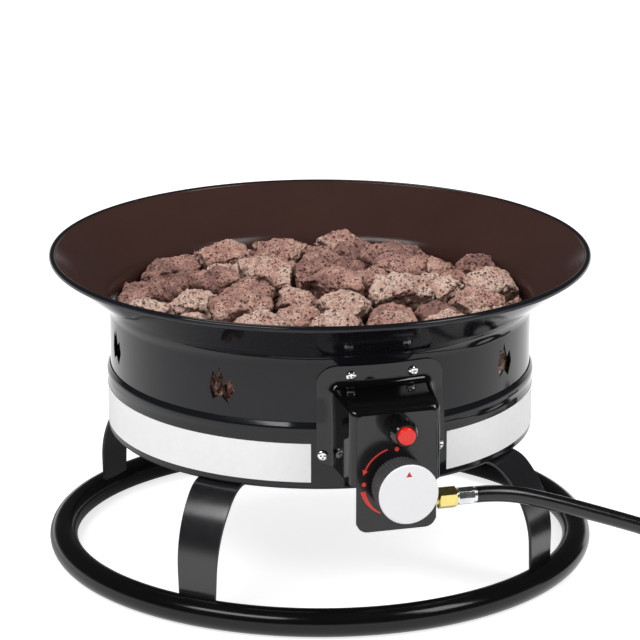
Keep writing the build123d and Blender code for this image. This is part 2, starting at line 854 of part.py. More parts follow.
# Inlet elbow: it hangs under the valve and turns to the right for the hose
inlet_corner = (0, -inlet_depth, inlet_height)
elbow_up = Plane(inlet_corner)
elbow_across = Plane(origin=inlet_corner, x_dir=(0, 1, 0), z_dir=(1, 0, 0))
elbow_top = knob_height - valve_half_height - inlet_height
with BuildPart() as inlet_elbow:
    bar(elbow_up, elbow_radius, -elbow_radius, elbow_top, sides=fastener_sides)
    bar(elbow_across, elbow_radius, 0, elbow_shoulder_end, sides=fastener_sides)
    bar(elbow_across, elbow_stub_radius, elbow_shoulder_end, hose_nut_end, sides=fitting_sides)
    bar(elbow_up, elbow_bore_radius, 0, elbow_top, Mode.SUBTRACT, fastener_sides)
    bar(elbow_across, elbow_bore_radius, 0, hose_nut_end, Mode.SUBTRACT, fastener_sides)
save(inlet_elbow, "inlet_elbow")

with BuildPart() as hose_nut:
    hex_bar(elbow_across, hose_nut_across_flats, hose_nut_start, hose_nut_end)
    stub_hole_radius = elbow_stub_radius + run_gap
    bar(elbow_across, stub_hole_radius, hose_nut_start, hose_nut_end, Mode.SUBTRACT, fitting_sides)
save(hose_nut, "hose_nut")


def crimped_sleeve(plane, start):
    """A crimp ferrule along a plane's normal, drawn in round its middle."""
    stop_shares = (0.0, 0.25, 0.75, 1.0)
    stops = [start + ferrule_length * share for share in stop_shares]
    for k, (near, far) in enumerate(zip(stops, stops[1:])):
        bar(plane, ferrule_radius - ferrule_ring_depth * (k % 2), near, far, sides=fitting_sides)


with BuildPart() as hose_ferrule:
    crimped_sleeve(elbow_across, hose_nut_end)
save(hose_ferrule, "hose_ferrule")

# Gas hose: straight runs joined by arcs, from the ferrule down to the floor
hose_radii = route_radii(hose_points)
with BuildPart() as gas_hose:
    with BuildLine() as hose_line:
        FilletPolyline(*hose_points, radius=hose_radii)
    with BuildSketch(Plane(origin=hose_points[0], x_dir=(0, 1, 0), z_dir=(1, 0, 0))) as hose_section:
        RegularPolygon(hose_radius, hose_sides)
    sweep()
save(gas_hose, "gas_hose")

# Hose coil: two flat layers, wound inwards on the floor and outwards above, then a straight tail
coil_start = hose_points[-1] + Vector(hose_diameter, 0, 0)
coil_centre = coil_start + Vector(0, coil_outer_radius, 0)
coil_turns = coil_lower_turns + coil_climb_turns + coil_upper_turns
coil_inner_radius = coil_outer_radius - coil_pitch * (coil_lower_turns - coil_ease_turns / 2)
coil_end_radius = coil_inner_radius + coil_pitch * (coil_upper_turns - coil_ease_turns / 2)


def coil_wound(turn):
    """The turns wound inwards, eased in from a tangent start."""
    if turn < coil_ease_turns:
        return turn * turn / (2 * coil_ease_turns)
    return turn - coil_ease_turns / 2


def coil_place(turn):
    """The coil's centreline at a number of turns from its start."""
    climbed = turn - coil_lower_turns
    if climbed <= 0:
        radius = coil_outer_radius - coil_pitch * coil_wound(turn)
        rise = 0.0
    elif climbed < coil_climb_turns:
        radius = coil_inner_radius - coil_pitch * climbed * (1 - climbed / coil_climb_turns)
        rise = coil_layer_step * (1 - math.cos(math.pi * climbed / coil_climb_turns)) / 2
    else:
        radius = coil_end_radius - coil_pitch * coil_wound(coil_turns - turn)
        rise = coil_layer_step
    angle = 2 * math.pi * turn - math.pi / 2
    return coil_centre + Vector(radius * math.cos(angle), radius * math.sin(angle), rise)


coil_steps = round(coil_turns / coil_arc_turns)
coil_stops = [coil_turns * k / coil_steps for k in range(coil_steps + 1)]
coil_points = [coil_place(t) for t in coil_stops]
coil_tangents = directions(coil_place, coil_stops[1:-1], 0.0005)
coil_tangents = [Vector(1, 0, 0), *coil_tangents, Vector(0, 1, 0)]
coil_end = coil_points[-1] + Vector(0, coil_tail_length, 0)
with BuildPart() as gas_hose_coil:
    with BuildLine() as coil_line:
        Line(hose_points[-1], coil_start)
        biarcs(coil_points, coil_tangents)
        Line(coil_points[-1], coil_end)
    with BuildSketch(Plane(origin=hose_points[-1], x_dir=(0, 1, 0), z_dir=(1, 0, 0))) as coil_section:
        RegularPolygon(hose_radius, hose_sides)
    sweep()
save(gas_hose_coil, "gas_hose_coil")

# Hose tie: a flat strap round the coil's turns at one place
tie_turn = (tie_angle + 90.0) / 360.0
tie_turns = [tie_turn + k for k in range(math.ceil(coil_turns - tie_turn))]
tie_reaches = [math.hypot(p.X - coil_centre.X, p.Y - coil_centre.Y) for p in map(coil_place, tie_turns)]
tie_outer = max(tie_reaches) + hose_radius + tie_side_gap
tie_inner = min(tie_reaches) - hose_radius - tie_side_gap
tie_height = coil_layer_step + hose_diameter + 2 * tie_gap
tie_heading = math.radians(tie_angle)
tie_out = Vector(math.cos(tie_heading), math.sin(tie_heading), 0)
tie_middle = coil_centre + tie_out * (tie_inner + tie_outer) / 2 + Vector(0, 0, coil_layer_step / 2)
tie_plane = Plane(origin=tie_middle, x_dir=tie_out, z_dir=tie_out.cross(Vector(0, 0, 1)))
with BuildPart() as hose_tie:
    with BuildSketch(tie_plane) as tie_loop:
        tie_span = tie_outer - tie_inner
        Rectangle(tie_span + 2 * tie_sheet, tie_height + 2 * tie_sheet)
        chamfer(tie_loop.vertices(), tie_corner)
        offset(amount=-tie_sheet, mode=Mode.SUBTRACT)
    extrude(amount=tie_width / 2, both=True)
save(hose_tie, "hose_tie")

# Regulator: a round body and cover that lie flat, with the hose on one side and the tank nut opposite
regulator_line = Plane(origin=coil_end, x_dir=(-1, 0, 0), z_dir=(0, 1, 0))
regulator_near = ferrule_length + outlet_boss_length
regulator_middle = coil_end + Vector(0, regulator_near + regulator_radius, -coil_end.Z)
boss_face = regulator_near + 2 * regulator_radius + inlet_boss_length

with BuildPart() as regulator_ferrule:
    crimped_sleeve(regulator_line, 0)
save(regulator_ferrule, "regulator_ferrule")

with BuildPart() as regulator_body:
    bar(Plane(regulator_middle), regulator_radius, 0, regulator_body_height, sides=shell_sides)
    chamfer(regulator_body.edges().group_by(Axis.Z)[0], regulator_edge)
    body_middle = regulator_near + regulator_radius
    bar(regulator_line, outlet_boss_radius, ferrule_length, body_middle, sides=fastener_sides)
    bar(regulator_line, inlet_boss_radius, body_middle, boss_face, sides=fastener_sides)
save(regulator_body, "regulator_body")

with BuildPart() as regulator_cover:
    cover_top = regulator_body_height + regulator_cover_height
    bar(Plane(regulator_middle), regulator_radius, regulator_body_height, cover_top, sides=shell_sides)
    chamfer(regulator_cover.edges().group_by(Axis.Z)[-1], regulator_edge)
    vent_cap_top = cover_top + vent_cap_height
    bar(Plane(regulator_middle), vent_cap_radius, cover_top, vent_cap_top, sides=fitting_sides)
save(regulator_cover, "regulator_cover")

# Inlet nipple: it goes through the tank nut, and its shoulder holds the nut on
nut_back = boss_face + tank_nut_end_gap
nut_mouth = nut_back + tank_nut_length
shoulder_start = nut_back + tank_nut_back_wall + tank_nut_end_gap
nipple_end = nut_mouth + nipple_tip_length
with BuildPart() as inlet_nipple:
    bar(regulator_line, nipple_neck_radius, boss_face, nut_mouth, sides=fitting_sides)
    shoulder_end = shoulder_start + nipple_shoulder_length
    bar(regulator_line, nipple_shoulder_radius, shoulder_start, shoulder_end, sides=fitting_sides)
    bar(regulator_line, nipple_tip_radius, nut_mouth, nipple_end)
    with BuildSketch(regulator_line.offset(nipple_end)) as nipple_nose:
        RegularPolygon(nipple_tip_radius, fitting_sides)
    extrude(nipple_nose.sketch, amount=nipple_tip_edge, taper=45)
    nose_end = nipple_end + nipple_tip_edge
    bar(regulator_line, nipple_bore_radius, boss_face, nose_end, Mode.SUBTRACT, fastener_sides)
save(inlet_nipple, "inlet_nipple")

with BuildPart() as tank_nut:
    ridged_bar(
        regulator_line, tank_nut_radius, tank_nut_ridge_depth, tank_nut_ridges, nut_back, nut_mouth
    )
    back_wall_end = nut_back + tank_nut_back_wall
    bar(regulator_line, tank_nut_bore_radius, back_wall_end, nut_mouth, Mode.SUBTRACT, shell_sides)
    bar(regulator_line, nipple_neck_radius + run_gap, nut_back, back_wall_end, Mode.SUBTRACT)
save(tank_nut, "tank_nut")

# Burner: a hollow pressed ring with slots along its top, fed by a tube from the jet
with BuildPart() as burner_ring:
    with BuildSketch(Plane.XZ) as burner_section:
        with Locations(((burner_inner_radius + burner_outer_radius) / 2, knob_height)):
            Rectangle(burner_outer_radius - burner_inner_radius, burner_height)
            offset(amount=-burner_sheet, mode=Mode.SUBTRACT)
    revolve(axis=Axis.Z)
    with BuildSketch(Plane.XY.offset(burner_top)) as ports:
        with PolarLocations((burner_inner_radius + burner_outer_radius) / 2, port_count):
            Rectangle(port_length, port_width)
    extrude(amount=-2 * burner_sheet, mode=Mode.SUBTRACT)
    burner_middle = (burner_inner_radius + burner_outer_radius) / 2
    bar(knob_axis, venturi_radius + seat_gap, burner_middle, panel_depth, Mode.SUBTRACT, fitting_sides)
save(burner_ring, "burner_ring")

with BuildPart() as venturi_tube:
    venturi_end = burner_outer_radius - venturi_end_entry
    bell_depth = venturi_mouth_depth - venturi_mouth_length
    tube_bore_radius = venturi_radius - venturi_sheet
    bell_bore_radius = venturi_mouth_radius - venturi_sheet
    bar(knob_axis, venturi_radius, venturi_end, bell_depth, sides=fitting_sides)
    bar(knob_axis, venturi_mouth_radius, bell_depth, venturi_mouth_depth, sides=fitting_sides)
    bar(knob_axis, tube_bore_radius, venturi_end, venturi_mouth_depth, Mode.SUBTRACT, fitting_sides)
    bell_floor = bell_depth + venturi_sheet
    bar(knob_axis, bell_bore_radius, bell_floor, venturi_mouth_depth, Mode.SUBTRACT, fitting_sides)
save(venturi_tube, "venturi_tube")

# Burner brackets: small bent feet under the burner, each held to the pan by a screw
with BuildPart() as burner_brackets:
    for k in range(bracket_count):
        azimuth = bracket_first_azimuth + k * 360.0 / bracket_count
        with BuildSketch(radial_plane(azimuth)) as bracket_side:
            foot_start = burner_inner_radius - bracket_foot_length
            top_end = burner_inner_radius + bracket_foot_length
            web = burner_inner_radius
            with BuildLine():
                Polyline(
                    (foot_start, pan_floor),
                    (web, pan_floor),
                    (web, burner_bottom - bracket_sheet),
                    (top_end, burner_bottom - bracket_sheet),
                    (top_end, burner_bottom),
                    (web - bracket_sheet, burner_bottom),
                    (web - bracket_sheet, pan_floor + bracket_sheet),
                    (foot_start, pan_floor + bracket_sheet),
                    close=True,
                )
            make_face()
        extrude(bracket_side.sketch, amount=bracket_width / 2, both=True)
        hole = Plane(polar(bracket_circle_radius, azimuth, pan_floor))
        fastener_hole(hole, bracket_screw_radius, 0, bracket_sheet)
save(burner_brackets, "burner_brackets")

with BuildPart() as burner_screws:
    for k in range(bracket_count):
        azimuth = bracket_first_azimuth + k * 360.0 / bracket_count
        screw_base = Plane(polar(bracket_circle_radius, azimuth, pan_bottom))
        head_seat = pan_sheet + bracket_sheet
        head_top = head_seat + bracket_screw_head_height
        bar(screw_base, bracket_screw_radius, 0, head_seat, sides=fastener_sides)
        bar(screw_base, bracket_screw_head_radius, head_seat, head_top, sides=fastener_sides)
save(burner_screws, "burner_screws")

# Igniter: a body behind the panel, a ribbed collar in front of it and a sprung button
with BuildPart() as igniter_body:
    body_rear = panel_back_depth - igniter_body_length
    bar(igniter_axis, igniter_body_radius, body_rear, panel_back_depth, sides=fitting_sides)
    bar(igniter_axis, igniter_neck_radius, panel_back_depth, igniter_neck_front, sides=fitting_sides)
    terminal_plane = Plane((0, -terminal_depth, terminal_end))
    bar(terminal_plane, terminal_radius, 0, igniter_body_radius, sides=fastener_sides)
    stem_hole_radius = button_stem_radius + run_gap
    bar(igniter_axis, stem_hole_radius, igniter_bore_rear, igniter_neck_front, Mode.SUBTRACT, fitting_sides)
save(igniter_body, "igniter_body")

collar_bore_radius = button_radius + slide_gap
with BuildPart() as igniter_collar:
    collar_front = panel_depth + collar_length
    ridged_bar(igniter_axis, collar_radius, collar_ridge_depth, collar_ridges, panel_depth, collar_front)
    bar(igniter_axis, collar_bore_radius, panel_depth, collar_front, Mode.SUBTRACT, shell_sides)
save(igniter_collar, "igniter_collar")

with BuildPart() as igniter_button:
    bar(igniter_axis, button_radius, button_rear, button_front_depth, sides=shell_sides)
    chamfer(igniter_button.edges().group_by(Axis.Y)[0], button_edge)
    bar(igniter_axis, button_stem_radius, button_stem_rear, button_rear, sides=fitting_sides)
save(igniter_button, "igniter_button")

igniter_spring = spring_wire(
    igniter_height,
    igniter_spring_radius,
    igniter_spring_wire,
    igniter_spring_turns,
    igniter_bore_rear + seat_gap,
    button_stem_rear - seat_gap,
)
save(igniter_spring, "igniter_spring")

# Ignition wire and spark electrode: the wire feeds a rod in a ceramic sleeve through the wall
wire_radii = route_radii(wire_points)
with BuildPart() as ignition_wire:
    with BuildLine() as wire_line:
        FilletPolyline(*wire_points, radius=wire_radii)
    with BuildSketch(Plane(origin=wire_points[0], z_dir=(0, 0, -1))) as wire_section:
        RegularPolygon(wire_radius, wire_sides)
    sweep()
save(ignition_wire, "ignition_wire")

with BuildPart() as electrode_insulator:
    bar(electrode_axis, insulator_radius, insulator_rear_depth, insulator_front_depth, sides=fastener_sides)
    near_side = electrode_offset - insulator_shoulder_radius
    shoulder_rear = math.sqrt(pan_radius**2 - near_side**2) + insulator_shoulder_gap
    shoulder_front = shoulder_rear + insulator_shoulder_length
    bar(electrode_axis, insulator_shoulder_radius, shoulder_rear, shoulder_front, sides=fastener_sides)
save(electrode_insulator, "electrode_insulator")

with BuildPart() as electrode_rod:
    bar(electrode_axis, electrode_radius, electrode_tip_depth, insulator_rear_depth, sides=fastener_sides)
save(electrode_rod, "electrode_rod")

# Control knob: a hub and knurled grip on the stem, and a flat cap on its face
with BuildPart() as knob_body:
    bar(knob_axis, knob_hub_radius, knob_hub_rear, knob_grip_rear, sides=shell_sides)
    ridged_bar(
        knob_axis, knob_grip_radius, knob_ridge_depth, knob_grip_ridges, knob_grip_rear, knob_grip_front
    )
    well_end = knob_hub_rear + knob_well_depth
    bar(knob_axis, knob_well_radius, knob_hub_rear, well_end, Mode.SUBTRACT, fitting_sides)
    socket_radius = stem_radius + run_gap
    flatted_bar(knob_axis, socket_radius, stem_flat, knob_hub_rear, stem_front, Mode.SUBTRACT)
save(knob_body, "knob_body")

with BuildPart() as knob_cap:
    bar(knob_axis, knob_cap_radius, knob_grip_front, knob_front_depth, sides=cap_sides)
    chamfer(knob_cap.edges().group_by(Axis.Y)[0], knob_cap_thickness / 4)
save(knob_cap, "knob_cap")


# Lava rock: each lump is the space nearer to its own centre than to its neighbours, cut by flat breaks
def scatter(count, radius, first_angle):
    """Places spread evenly over a disc, along a sunflower spiral."""
    return [
        polar(radius * math.sqrt((k + 0.5) / count), first_angle + k * golden_angle, 0)
        for k in range(count)
    ]


def lump(centre, neighbours, breaks):
    """One lump: a block cut back halfway to each neighbour and along its own broken faces."""
    with BuildPart() as rock:
        with Locations(centre):
            Box(rock_box_size, rock_box_size, rock_box_size)
        for other in neighbours:
            apart = other - centre
            if 0 < apart.length < rock_reach:
                middle = centre + apart / 2 - apart.normalized() * rock_gap
                split(bisect_by=Plane(origin=middle, z_dir=apart), keep=Keep.BOTTOM)
        for face in breaks:
            split(bisect_by=face, keep=Keep.BOTTOM)
    return rock.part.solid()


def wall_breaks(centre, reach):
    """The flat sides of a lump that lies against a round wall."""
    heading = math.degrees(math.atan2(centre.X, -centre.Y))
    sides = [polar(1, heading + turn, 0) for turn in (-rock_wall_turn, 0, rock_wall_turn)]
    return [Plane(origin=side * reach, z_dir=side) for side in sides]


def save_rocks(lumps, label):
    """Write a layer of separate lumps as one node."""
    layer = Compound(children=lumps)
    layer.label = label
    export_step(layer, f"parts/{label}.step")


rock_field_radius = bowl_inner_radius - rock_wall_gap
middle_centres = []
for k, place in enumerate(scatter(middle_rock_count, rock_field_radius, 0.0)):
    lift = rock_jitter * math.sin(2.4 * k)
    middle_centres.append(place + Vector(0, 0, rock_middle_height + lift))
upper_centres = []
for k, place in enumerate(scatter(upper_rock_count, rock_field_radius, 37.0)):
    outwards = place.length / rock_field_radius
    crown = rock_crown_height - rock_crown_fall * outwards**2
    lift = rock_jitter * math.sin(1.7 * k + 1.0)
    upper_centres.append(place + Vector(0, 0, crown - rock_upper_drop + lift))
all_centres = middle_centres + upper_centres

middle_lumps = []
floor_break = Plane(origin=(0, 0, rock_floor), z_dir=(0, 0, -1))
for centre in middle_centres:
    breaks = [floor_break, *wall_breaks(centre, rock_field_radius)]
    middle_lumps.append(lump(centre, all_centres, breaks))
save_rocks(middle_lumps, "lava_rocks_middle")

upper_lumps = []
tilt = math.radians(rock_crown_tilt)
for k, centre in enumerate(upper_centres):
    peak = centre + Vector(0, 0, rock_upper_drop)
    breaks = wall_breaks(centre, rock_field_radius)
    for side in range(rock_crown_breaks):
        lean_azimuth = 67.0 * k + 360.0 * side / rock_crown_breaks
        lean = polar(math.sin(tilt), lean_azimuth, math.cos(tilt))
        breaks.append(Plane(origin=peak, z_dir=lean))
    upper_lumps.append(lump(centre, all_centres, breaks))
save_rocks(upper_lumps, "lava_rocks_upper")

# The lowest lumps lie on the pan's floor, inside the burner and outside it
lower_height = (pan_floor + burner_top) / 2
lower_half = (burner_top - pan_floor) / 2 - rock_gap
lower_span = 360.0 - 2 * lower_gap_azimuth
outer_centres = [
    polar(lower_outer_radius, lower_gap_azimuth + lower_span * k / (lower_outer_count - 1), lower_height)
    for k in range(lower_outer_count)
]
inner_centres = [
    polar(lower_inner_radius, 360.0 * k / lower_inner_count, lower_height)
    for k in range(lower_inner_count)
]
inner_centres.append(Vector(0, 0, lower_height))
flat_breaks = [
    Plane(origin=(0, 0, lower_height + lower_half), z_dir=(0, 0, 1)),
    Plane(origin=(0, 0, lower_height - lower_half), z_dir=(0, 0, -1)),
]
lower_lumps = []
outer_limit = lower_outer_edge_radius
for k, centre in enumerate(outer_centres):
    heading = lower_gap_azimuth + lower_span * k / (lower_outer_count - 1)
    half_step = lower_span / (lower_outer_count - 1) / 2
    inner_side = Plane(
        origin=polar(burner_outer_radius + burner_clearance, heading, 0), z_dir=polar(-1, heading, 0)
    )
    ends = [
        Plane(origin=polar(lower_outer_radius, heading + half_step, 0), z_dir=polar(1, heading + 90, 0)),
        Plane(origin=polar(lower_outer_radius, heading - half_step, 0), z_dir=polar(1, heading - 90, 0)),
    ]
    breaks = [*flat_breaks, inner_side, *wall_breaks(centre, outer_limit), *ends]
    lower_lumps.append(lump(centre, outer_centres, breaks))
inner_limit = burner_inner_radius - bracket_foot_length - burner_clearance
for centre in inner_centres:
    breaks = list(flat_breaks)
    for k in range(2 * lower_inner_count):
        side = polar(1, 360.0 * k / (2 * lower_inner_count), 0)
        reach = inner_limit * math.cos(math.pi / (2 * lower_inner_count))
        breaks.append(Plane(origin=side * reach, z_dir=side))
    lower_lumps.append(lump(centre, inner_centres, breaks))
save_rocks(lower_lumps, "lava_rocks_lower")

# What the hose measures: its bends, its length, its volume and its nearest pass to itself
coil_wire = coil_line.wire()
sample_count = 500
coil_samples = [coil_wire @ (k / sample_count) for k in range(sample_count + 1)]
sample_step = coil_wire.length / sample_count
nearest = min(
    (p - q).length
    for i, p in enumerate(coil_samples)
    for j, q in enumerate(coil_samples[:i])
    if (i - j) * sample_step > math.pi * coil_inner_radius
)
section_area = hose_section.sketch.area
hose_length = hose_line.wire().length
coil_length = coil_wire.length
print("hose radii", [round(r, 1) for r in hose_radii])
print("wire radii", [round(r, 1) for r in wire_radii])
print("hose length", round(hose_length, 1), "coil length", round(coil_length, 1))
print("hose volume ratio", round(gas_hose.part.volume / (section_area * hose_length), 4))
print("coil volume ratio", round(gas_hose_coil.part.volume / (section_area * coil_length), 4))
print("coil inner radius", round(coil_inner_radius, 1), "gap to itself", round(nearest - hose_diameter, 2))
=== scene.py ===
"""The looks of a round gas fire pit: a flared enamel bowl of lava rock on a ring stand, with its gas hose.

Sizes are in metres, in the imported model's own frame. The pit stands on Z = 0 about the bowl's axis, and its
controls face -Y. Azimuths are in degrees, counted from the front (-Y) towards +X, and a depth is a distance
in front of the bowl's axis.
"""

import logging
import math
from collections.abc import Iterable, Sequence
from dataclasses import dataclass, field
from enum import Enum

import bmesh
import bpy
from bmesh.types import BMEdge, BMesh, BMVert
from bpy.types import ID, Material, Mesh, NodeSocket, NodeTree, Object
from mathutils import Matrix, Vector, noise


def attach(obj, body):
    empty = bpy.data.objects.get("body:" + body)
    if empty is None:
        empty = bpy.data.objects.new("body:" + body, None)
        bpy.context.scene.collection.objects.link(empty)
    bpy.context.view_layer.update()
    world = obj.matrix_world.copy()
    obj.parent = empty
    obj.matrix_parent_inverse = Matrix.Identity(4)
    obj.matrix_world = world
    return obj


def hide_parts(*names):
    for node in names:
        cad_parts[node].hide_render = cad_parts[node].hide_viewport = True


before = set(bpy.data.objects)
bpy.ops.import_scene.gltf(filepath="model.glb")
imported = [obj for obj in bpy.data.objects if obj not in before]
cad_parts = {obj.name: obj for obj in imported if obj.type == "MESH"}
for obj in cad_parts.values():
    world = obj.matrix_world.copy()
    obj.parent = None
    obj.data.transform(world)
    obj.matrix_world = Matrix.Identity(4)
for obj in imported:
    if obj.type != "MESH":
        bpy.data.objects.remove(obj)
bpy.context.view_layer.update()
log = logging.getLogger("fire_pit")

Colour = tuple[float, float, float]
Point = tuple[float, float, float]
Span = tuple[float, float]
Profile = tuple[tuple[float, float, float], ...]
WHOLE: Span = (0.0, 1.0)
CLOUDY: Span = (0.3, 0.75)
FULL_TURN = 360.0
CORNER_STEPS = 6
MERGE_REACH = 1e-6
PACKED_MERGE_REACH = 2e-6
FLAT_ANGLE = 1.0
SMOOTH_CREASE = 180.0
SHEET_CREASE = 35.0
SHEET_ANGLE = 50.0
NEAR = 1e-5
WHITE = (1.0, 1.0, 1.0, 1.0)
# A Mix node gives its sockets for numbers, vectors and colours the same names, so colours go by place
MIX_COLOURS = (6, 7)
MIX_RESULT = 2
RIB_POINTS = 4
NUT_STEPS = 48
NUT_FACE = 0.49
NUT_CLEARANCE = 1.01
NUT_SLOPE = 0.6


class Body(Enum):
    """The bodies that a piece can ride on."""

    PIT = "root"
    KNOB = "control_knob"
    BUTTON = "igniter_button"
    HAND_NUT = "tank_nut"


class Facing(Enum):
    """The way in which a turned piece's own axis points, as a turn about one of the frame's axes."""

    FRONT = (90.0, "X")
    BACK = (-90.0, "X")
    RIGHT = (90.0, "Y")

    def at(self, place: Point = (0.0, 0.0, 0.0)) -> Matrix:
        """The transform that points a piece this way from a place."""
        degrees, axis = self.value
        return Matrix.Translation(place) @ Matrix.Rotation(math.radians(degrees), 4, axis)


class Cut(Enum):
    """What is kept of a form when another is set against it."""

    OUTSIDE = "DIFFERENCE"
    INSIDE = "INTERSECT"


class Rounding(Enum):
    """What a rounding is worked on."""

    CORNERS = "VERTICES"
    EDGES = "EDGES"


class Sum(Enum):
    """How a shader puts two values together."""

    ADD = "ADD"
    LESS = "SUBTRACT"
    TIMES = "MULTIPLY"
    LARGER = "MAXIMUM"


def srgb(red: int, green: int, blue: int) -> Colour:
    """A screen colour, 0 to 255, as the linear values that a shader takes.

    Args:
        red: The red part.
        green: The green part.
        blue: The blue part.

    Returns:
        The linear colour.
    """
    shares = (part / 255 for part in (red, green, blue))
    return tuple(s / 12.92 if s <= 0.04045 else ((s + 0.055) / 1.055) ** 2.4 for s in shares)


def shade(colour: Colour, amount: float) -> Colour:
    """A colour made darker or lighter by a factor."""
    return tuple(min(1.0, part * amount) for part in colour)


def summed(tree: NodeTree, kind: Sum, first: NodeSocket | float, second: NodeSocket | float) -> NodeSocket:
    """Two values put together in a shader.

    Args:
        tree: The shader's tree.
        kind: How they are put together.
        first: The first value.
        second: The second value.

    Returns:
        The outcome.
    """
    node = tree.nodes.new("ShaderNodeMath")
    node.operation = kind.value
    for value, socket in zip((first, second), node.inputs):
        if isinstance(value, float):
            socket.default_value = value
        else:
            tree.links.new(value, socket)
    return node.outputs[0]


def mapped(tree: NodeTree, value: NodeSocket, own: Span, new: Span) -> NodeSocket:
    """A value mapped from its own range to a new one, and kept within it.

    Args:
        tree: The shader's tree.
        value: What is mapped.
        own: The start and end of its own range.
        new: What they become.

    Returns:
        The mapped value.
    """
    node = tree.nodes.new("ShaderNodeMapRange")
    for socket, number in zip(("From Min", "From Max", "To Min", "To Max"), (*own, *new)):
        node.inputs[socket].default_value = number
    tree.links.new(value, node.inputs["Value"])
    return node.outputs["Result"]


@dataclass(frozen=True)
class Grain:
    """A cloudy noise: its clouds in a metre, its finer octaves and how strong those are."""

    scale: float
    detail: float = 4.0
    rough: float = 0.55


class Surface:
    """A procedural material while it is wired up, on Object coordinates."""

    def __init__(self, name: str) -> None:
        """Starts from a plain shader.

        Args:
            name: The material's name.
        """
        self.material = bpy.data.materials.new(name)
        self.material.use_nodes = True
        self.tree = self.material.node_tree
        self.shader = self.tree.nodes["Principled BSDF"]
        self.coords = self.tree.nodes.new("ShaderNodeTexCoord").outputs["Object"]

    def set(self, **values: float) -> None:
        """Sets constants on the shader's own sockets, with _ for a space in a name."""
        for name, value in values.items():
            self.shader.inputs[name.replace("_", " ")].default_value = value

    def join(self, source: NodeSocket, socket: str) -> None:
        """Links a value to one of the shader's sockets."""
        self.tree.links.new(source, self.shader.inputs[socket])

    def stretched(self, scale: Point) -> NodeSocket:
        """Object coordinates stretched along the axes, for grain that runs one way.

        Args:
            scale: How much finer the grain is along each axis.

        Returns:
            The stretched coordinates.
        """
        node = self.tree.nodes.new("ShaderNodeMapping")
        node.inputs["Scale"].default_value = scale
        self.tree.links.new(self.coords, node.inputs["Vector"])
        return node.outputs["Vector"]

    def noise(self, grain: Grain, coords: NodeSocket | None = None) -> NodeSocket:
        """Cloudy noise.

        Args:
            grain: The noise's sizes.
            coords: Coordinates to read in place of the plain Object ones.

        Returns:
            The noise's value, about 0.5 on average.
        """
        node = self.tree.nodes.new("ShaderNodeTexNoise")
        node.inputs["Scale"].default_value = grain.scale
        node.inputs["Detail"].default_value = grain.detail
        node.inputs["Roughness"].default_value = grain.rough
        self.tree.links.new(coords or self.coords, node.inputs["Vector"])
        return node.outputs["Fac"]

    def cells(self, scale: float) -> NodeSocket:
        """The distance from the nearest of many scattered points, for pits and specks.

        Args:
            scale: How many points there are in a metre.

        Returns:
            The distance, in cells.
        """
        node = self.tree.nodes.new("ShaderNodeTexVoronoi")
        node.inputs["Scale"].default_value = scale
        self.tree.links.new(self.coords, node.inputs["Vector"])
        return node.outputs["Distance"]

    def upwards(self) -> NodeSocket:
        """How far a face looks up: 1 for straight up, 0 for sideways and -1 for straight down.

        Returns:
            The face normal's height.
        """
        node = self.tree.nodes.new("ShaderNodeSeparateXYZ")
        self.tree.links.new(self.tree.nodes.new("ShaderNodeNewGeometry").outputs["Normal"], node.inputs[0])
        return node.outputs["Z"]

    def island(self) -> NodeSocket:
        """A value from 0 to 1 that differs from one loose lump to the next."""
        return self.tree.nodes.new("ShaderNodeNewGeometry").outputs["Random Per Island"]

    def span(self, value: NodeSocket, own: Span, new: Span = WHOLE) -> NodeSocket:
        """A value mapped from its own range to a new one, and kept within it."""
        return mapped(self.tree, value, own, new)

    def math(self, kind: Sum, first: NodeSocket, second: NodeSocket | float) -> NodeSocket:
        """Two values put together."""
        return summed(self.tree, kind, first, second)

    def dulled(self, value: NodeSocket, own: Span, rough: float, spread: Span) -> None:
        """Links a roughness that follows a value.

        Args:
            value: What the roughness follows.
            own: The value's range.
            rough: The plain roughness.
            spread: The factors on it at the range's start and end.
        """
        start, end = spread
        self.join(self.span(value, own, (rough * start, rough * end)), "Roughness")

    def ramp(self, value: NodeSocket, stops: Sequence[tuple[float, Colour]]) -> NodeSocket:
        """A colour looked up along a row of stops.

        Args:
            value: The place along the row, from 0 to 1.
            stops: Each stop's place and colour.

        Returns:
            The colour at that place.
        """
        node = self.tree.nodes.new("ShaderNodeValToRGB")
        while len(node.color_ramp.elements) < len(stops):
            node.color_ramp.elements.new(1.0)
        for element, (place, colour) in zip(node.color_ramp.elements, stops):
            element.position = place
            element.color = (*colour, 1.0)
        self.tree.links.new(value, node.inputs["Fac"])
        return node.outputs["Color"]

    def blend(
        self, share: NodeSocket, first: NodeSocket | Colour, second: NodeSocket | Colour
    ) -> NodeSocket:
        """Two colours mixed by a share.

        Args:
            share: How much of the second colour shows.
            first: The colour where the share is 0.
            second: The colour where the share is 1.

        Returns:
            The mixed colour.
        """
        node = self.tree.nodes.new("ShaderNodeMix")
        node.data_type = "RGBA"
        self.tree.links.new(share, node.inputs[0])
        for source, place in zip((first, second), MIX_COLOURS):
            if isinstance(source, tuple):
                node.inputs[place].default_value = (*source, 1.0)
            else:
                self.tree.links.new(source, node.inputs[place])
        return node.outputs[MIX_RESULT]

    def bump(
        self, height: NodeSocket, strength: float, depth: float, under: NodeSocket | None = None
    ) -> NodeSocket:
        """A relief from a height.

        Args:
            height: The relief's height, from 0 to 1.
            strength: How much of the relief shows.
            depth: How deep a height of 1 is, in metres.
            under: A relief that this one lies on.

        Returns:
            The bumped normal.
        """
        node = self.tree.nodes.new("ShaderNodeBump")
        node.inputs["Strength"].default_value = strength
        node.inputs["Distance"].default_value = depth
        self.tree.links.new(height, node.inputs["Height"])
        if under is not None:
            self.tree.links.new(under, node.inputs["Normal"])
        return node.outputs["Normal"]


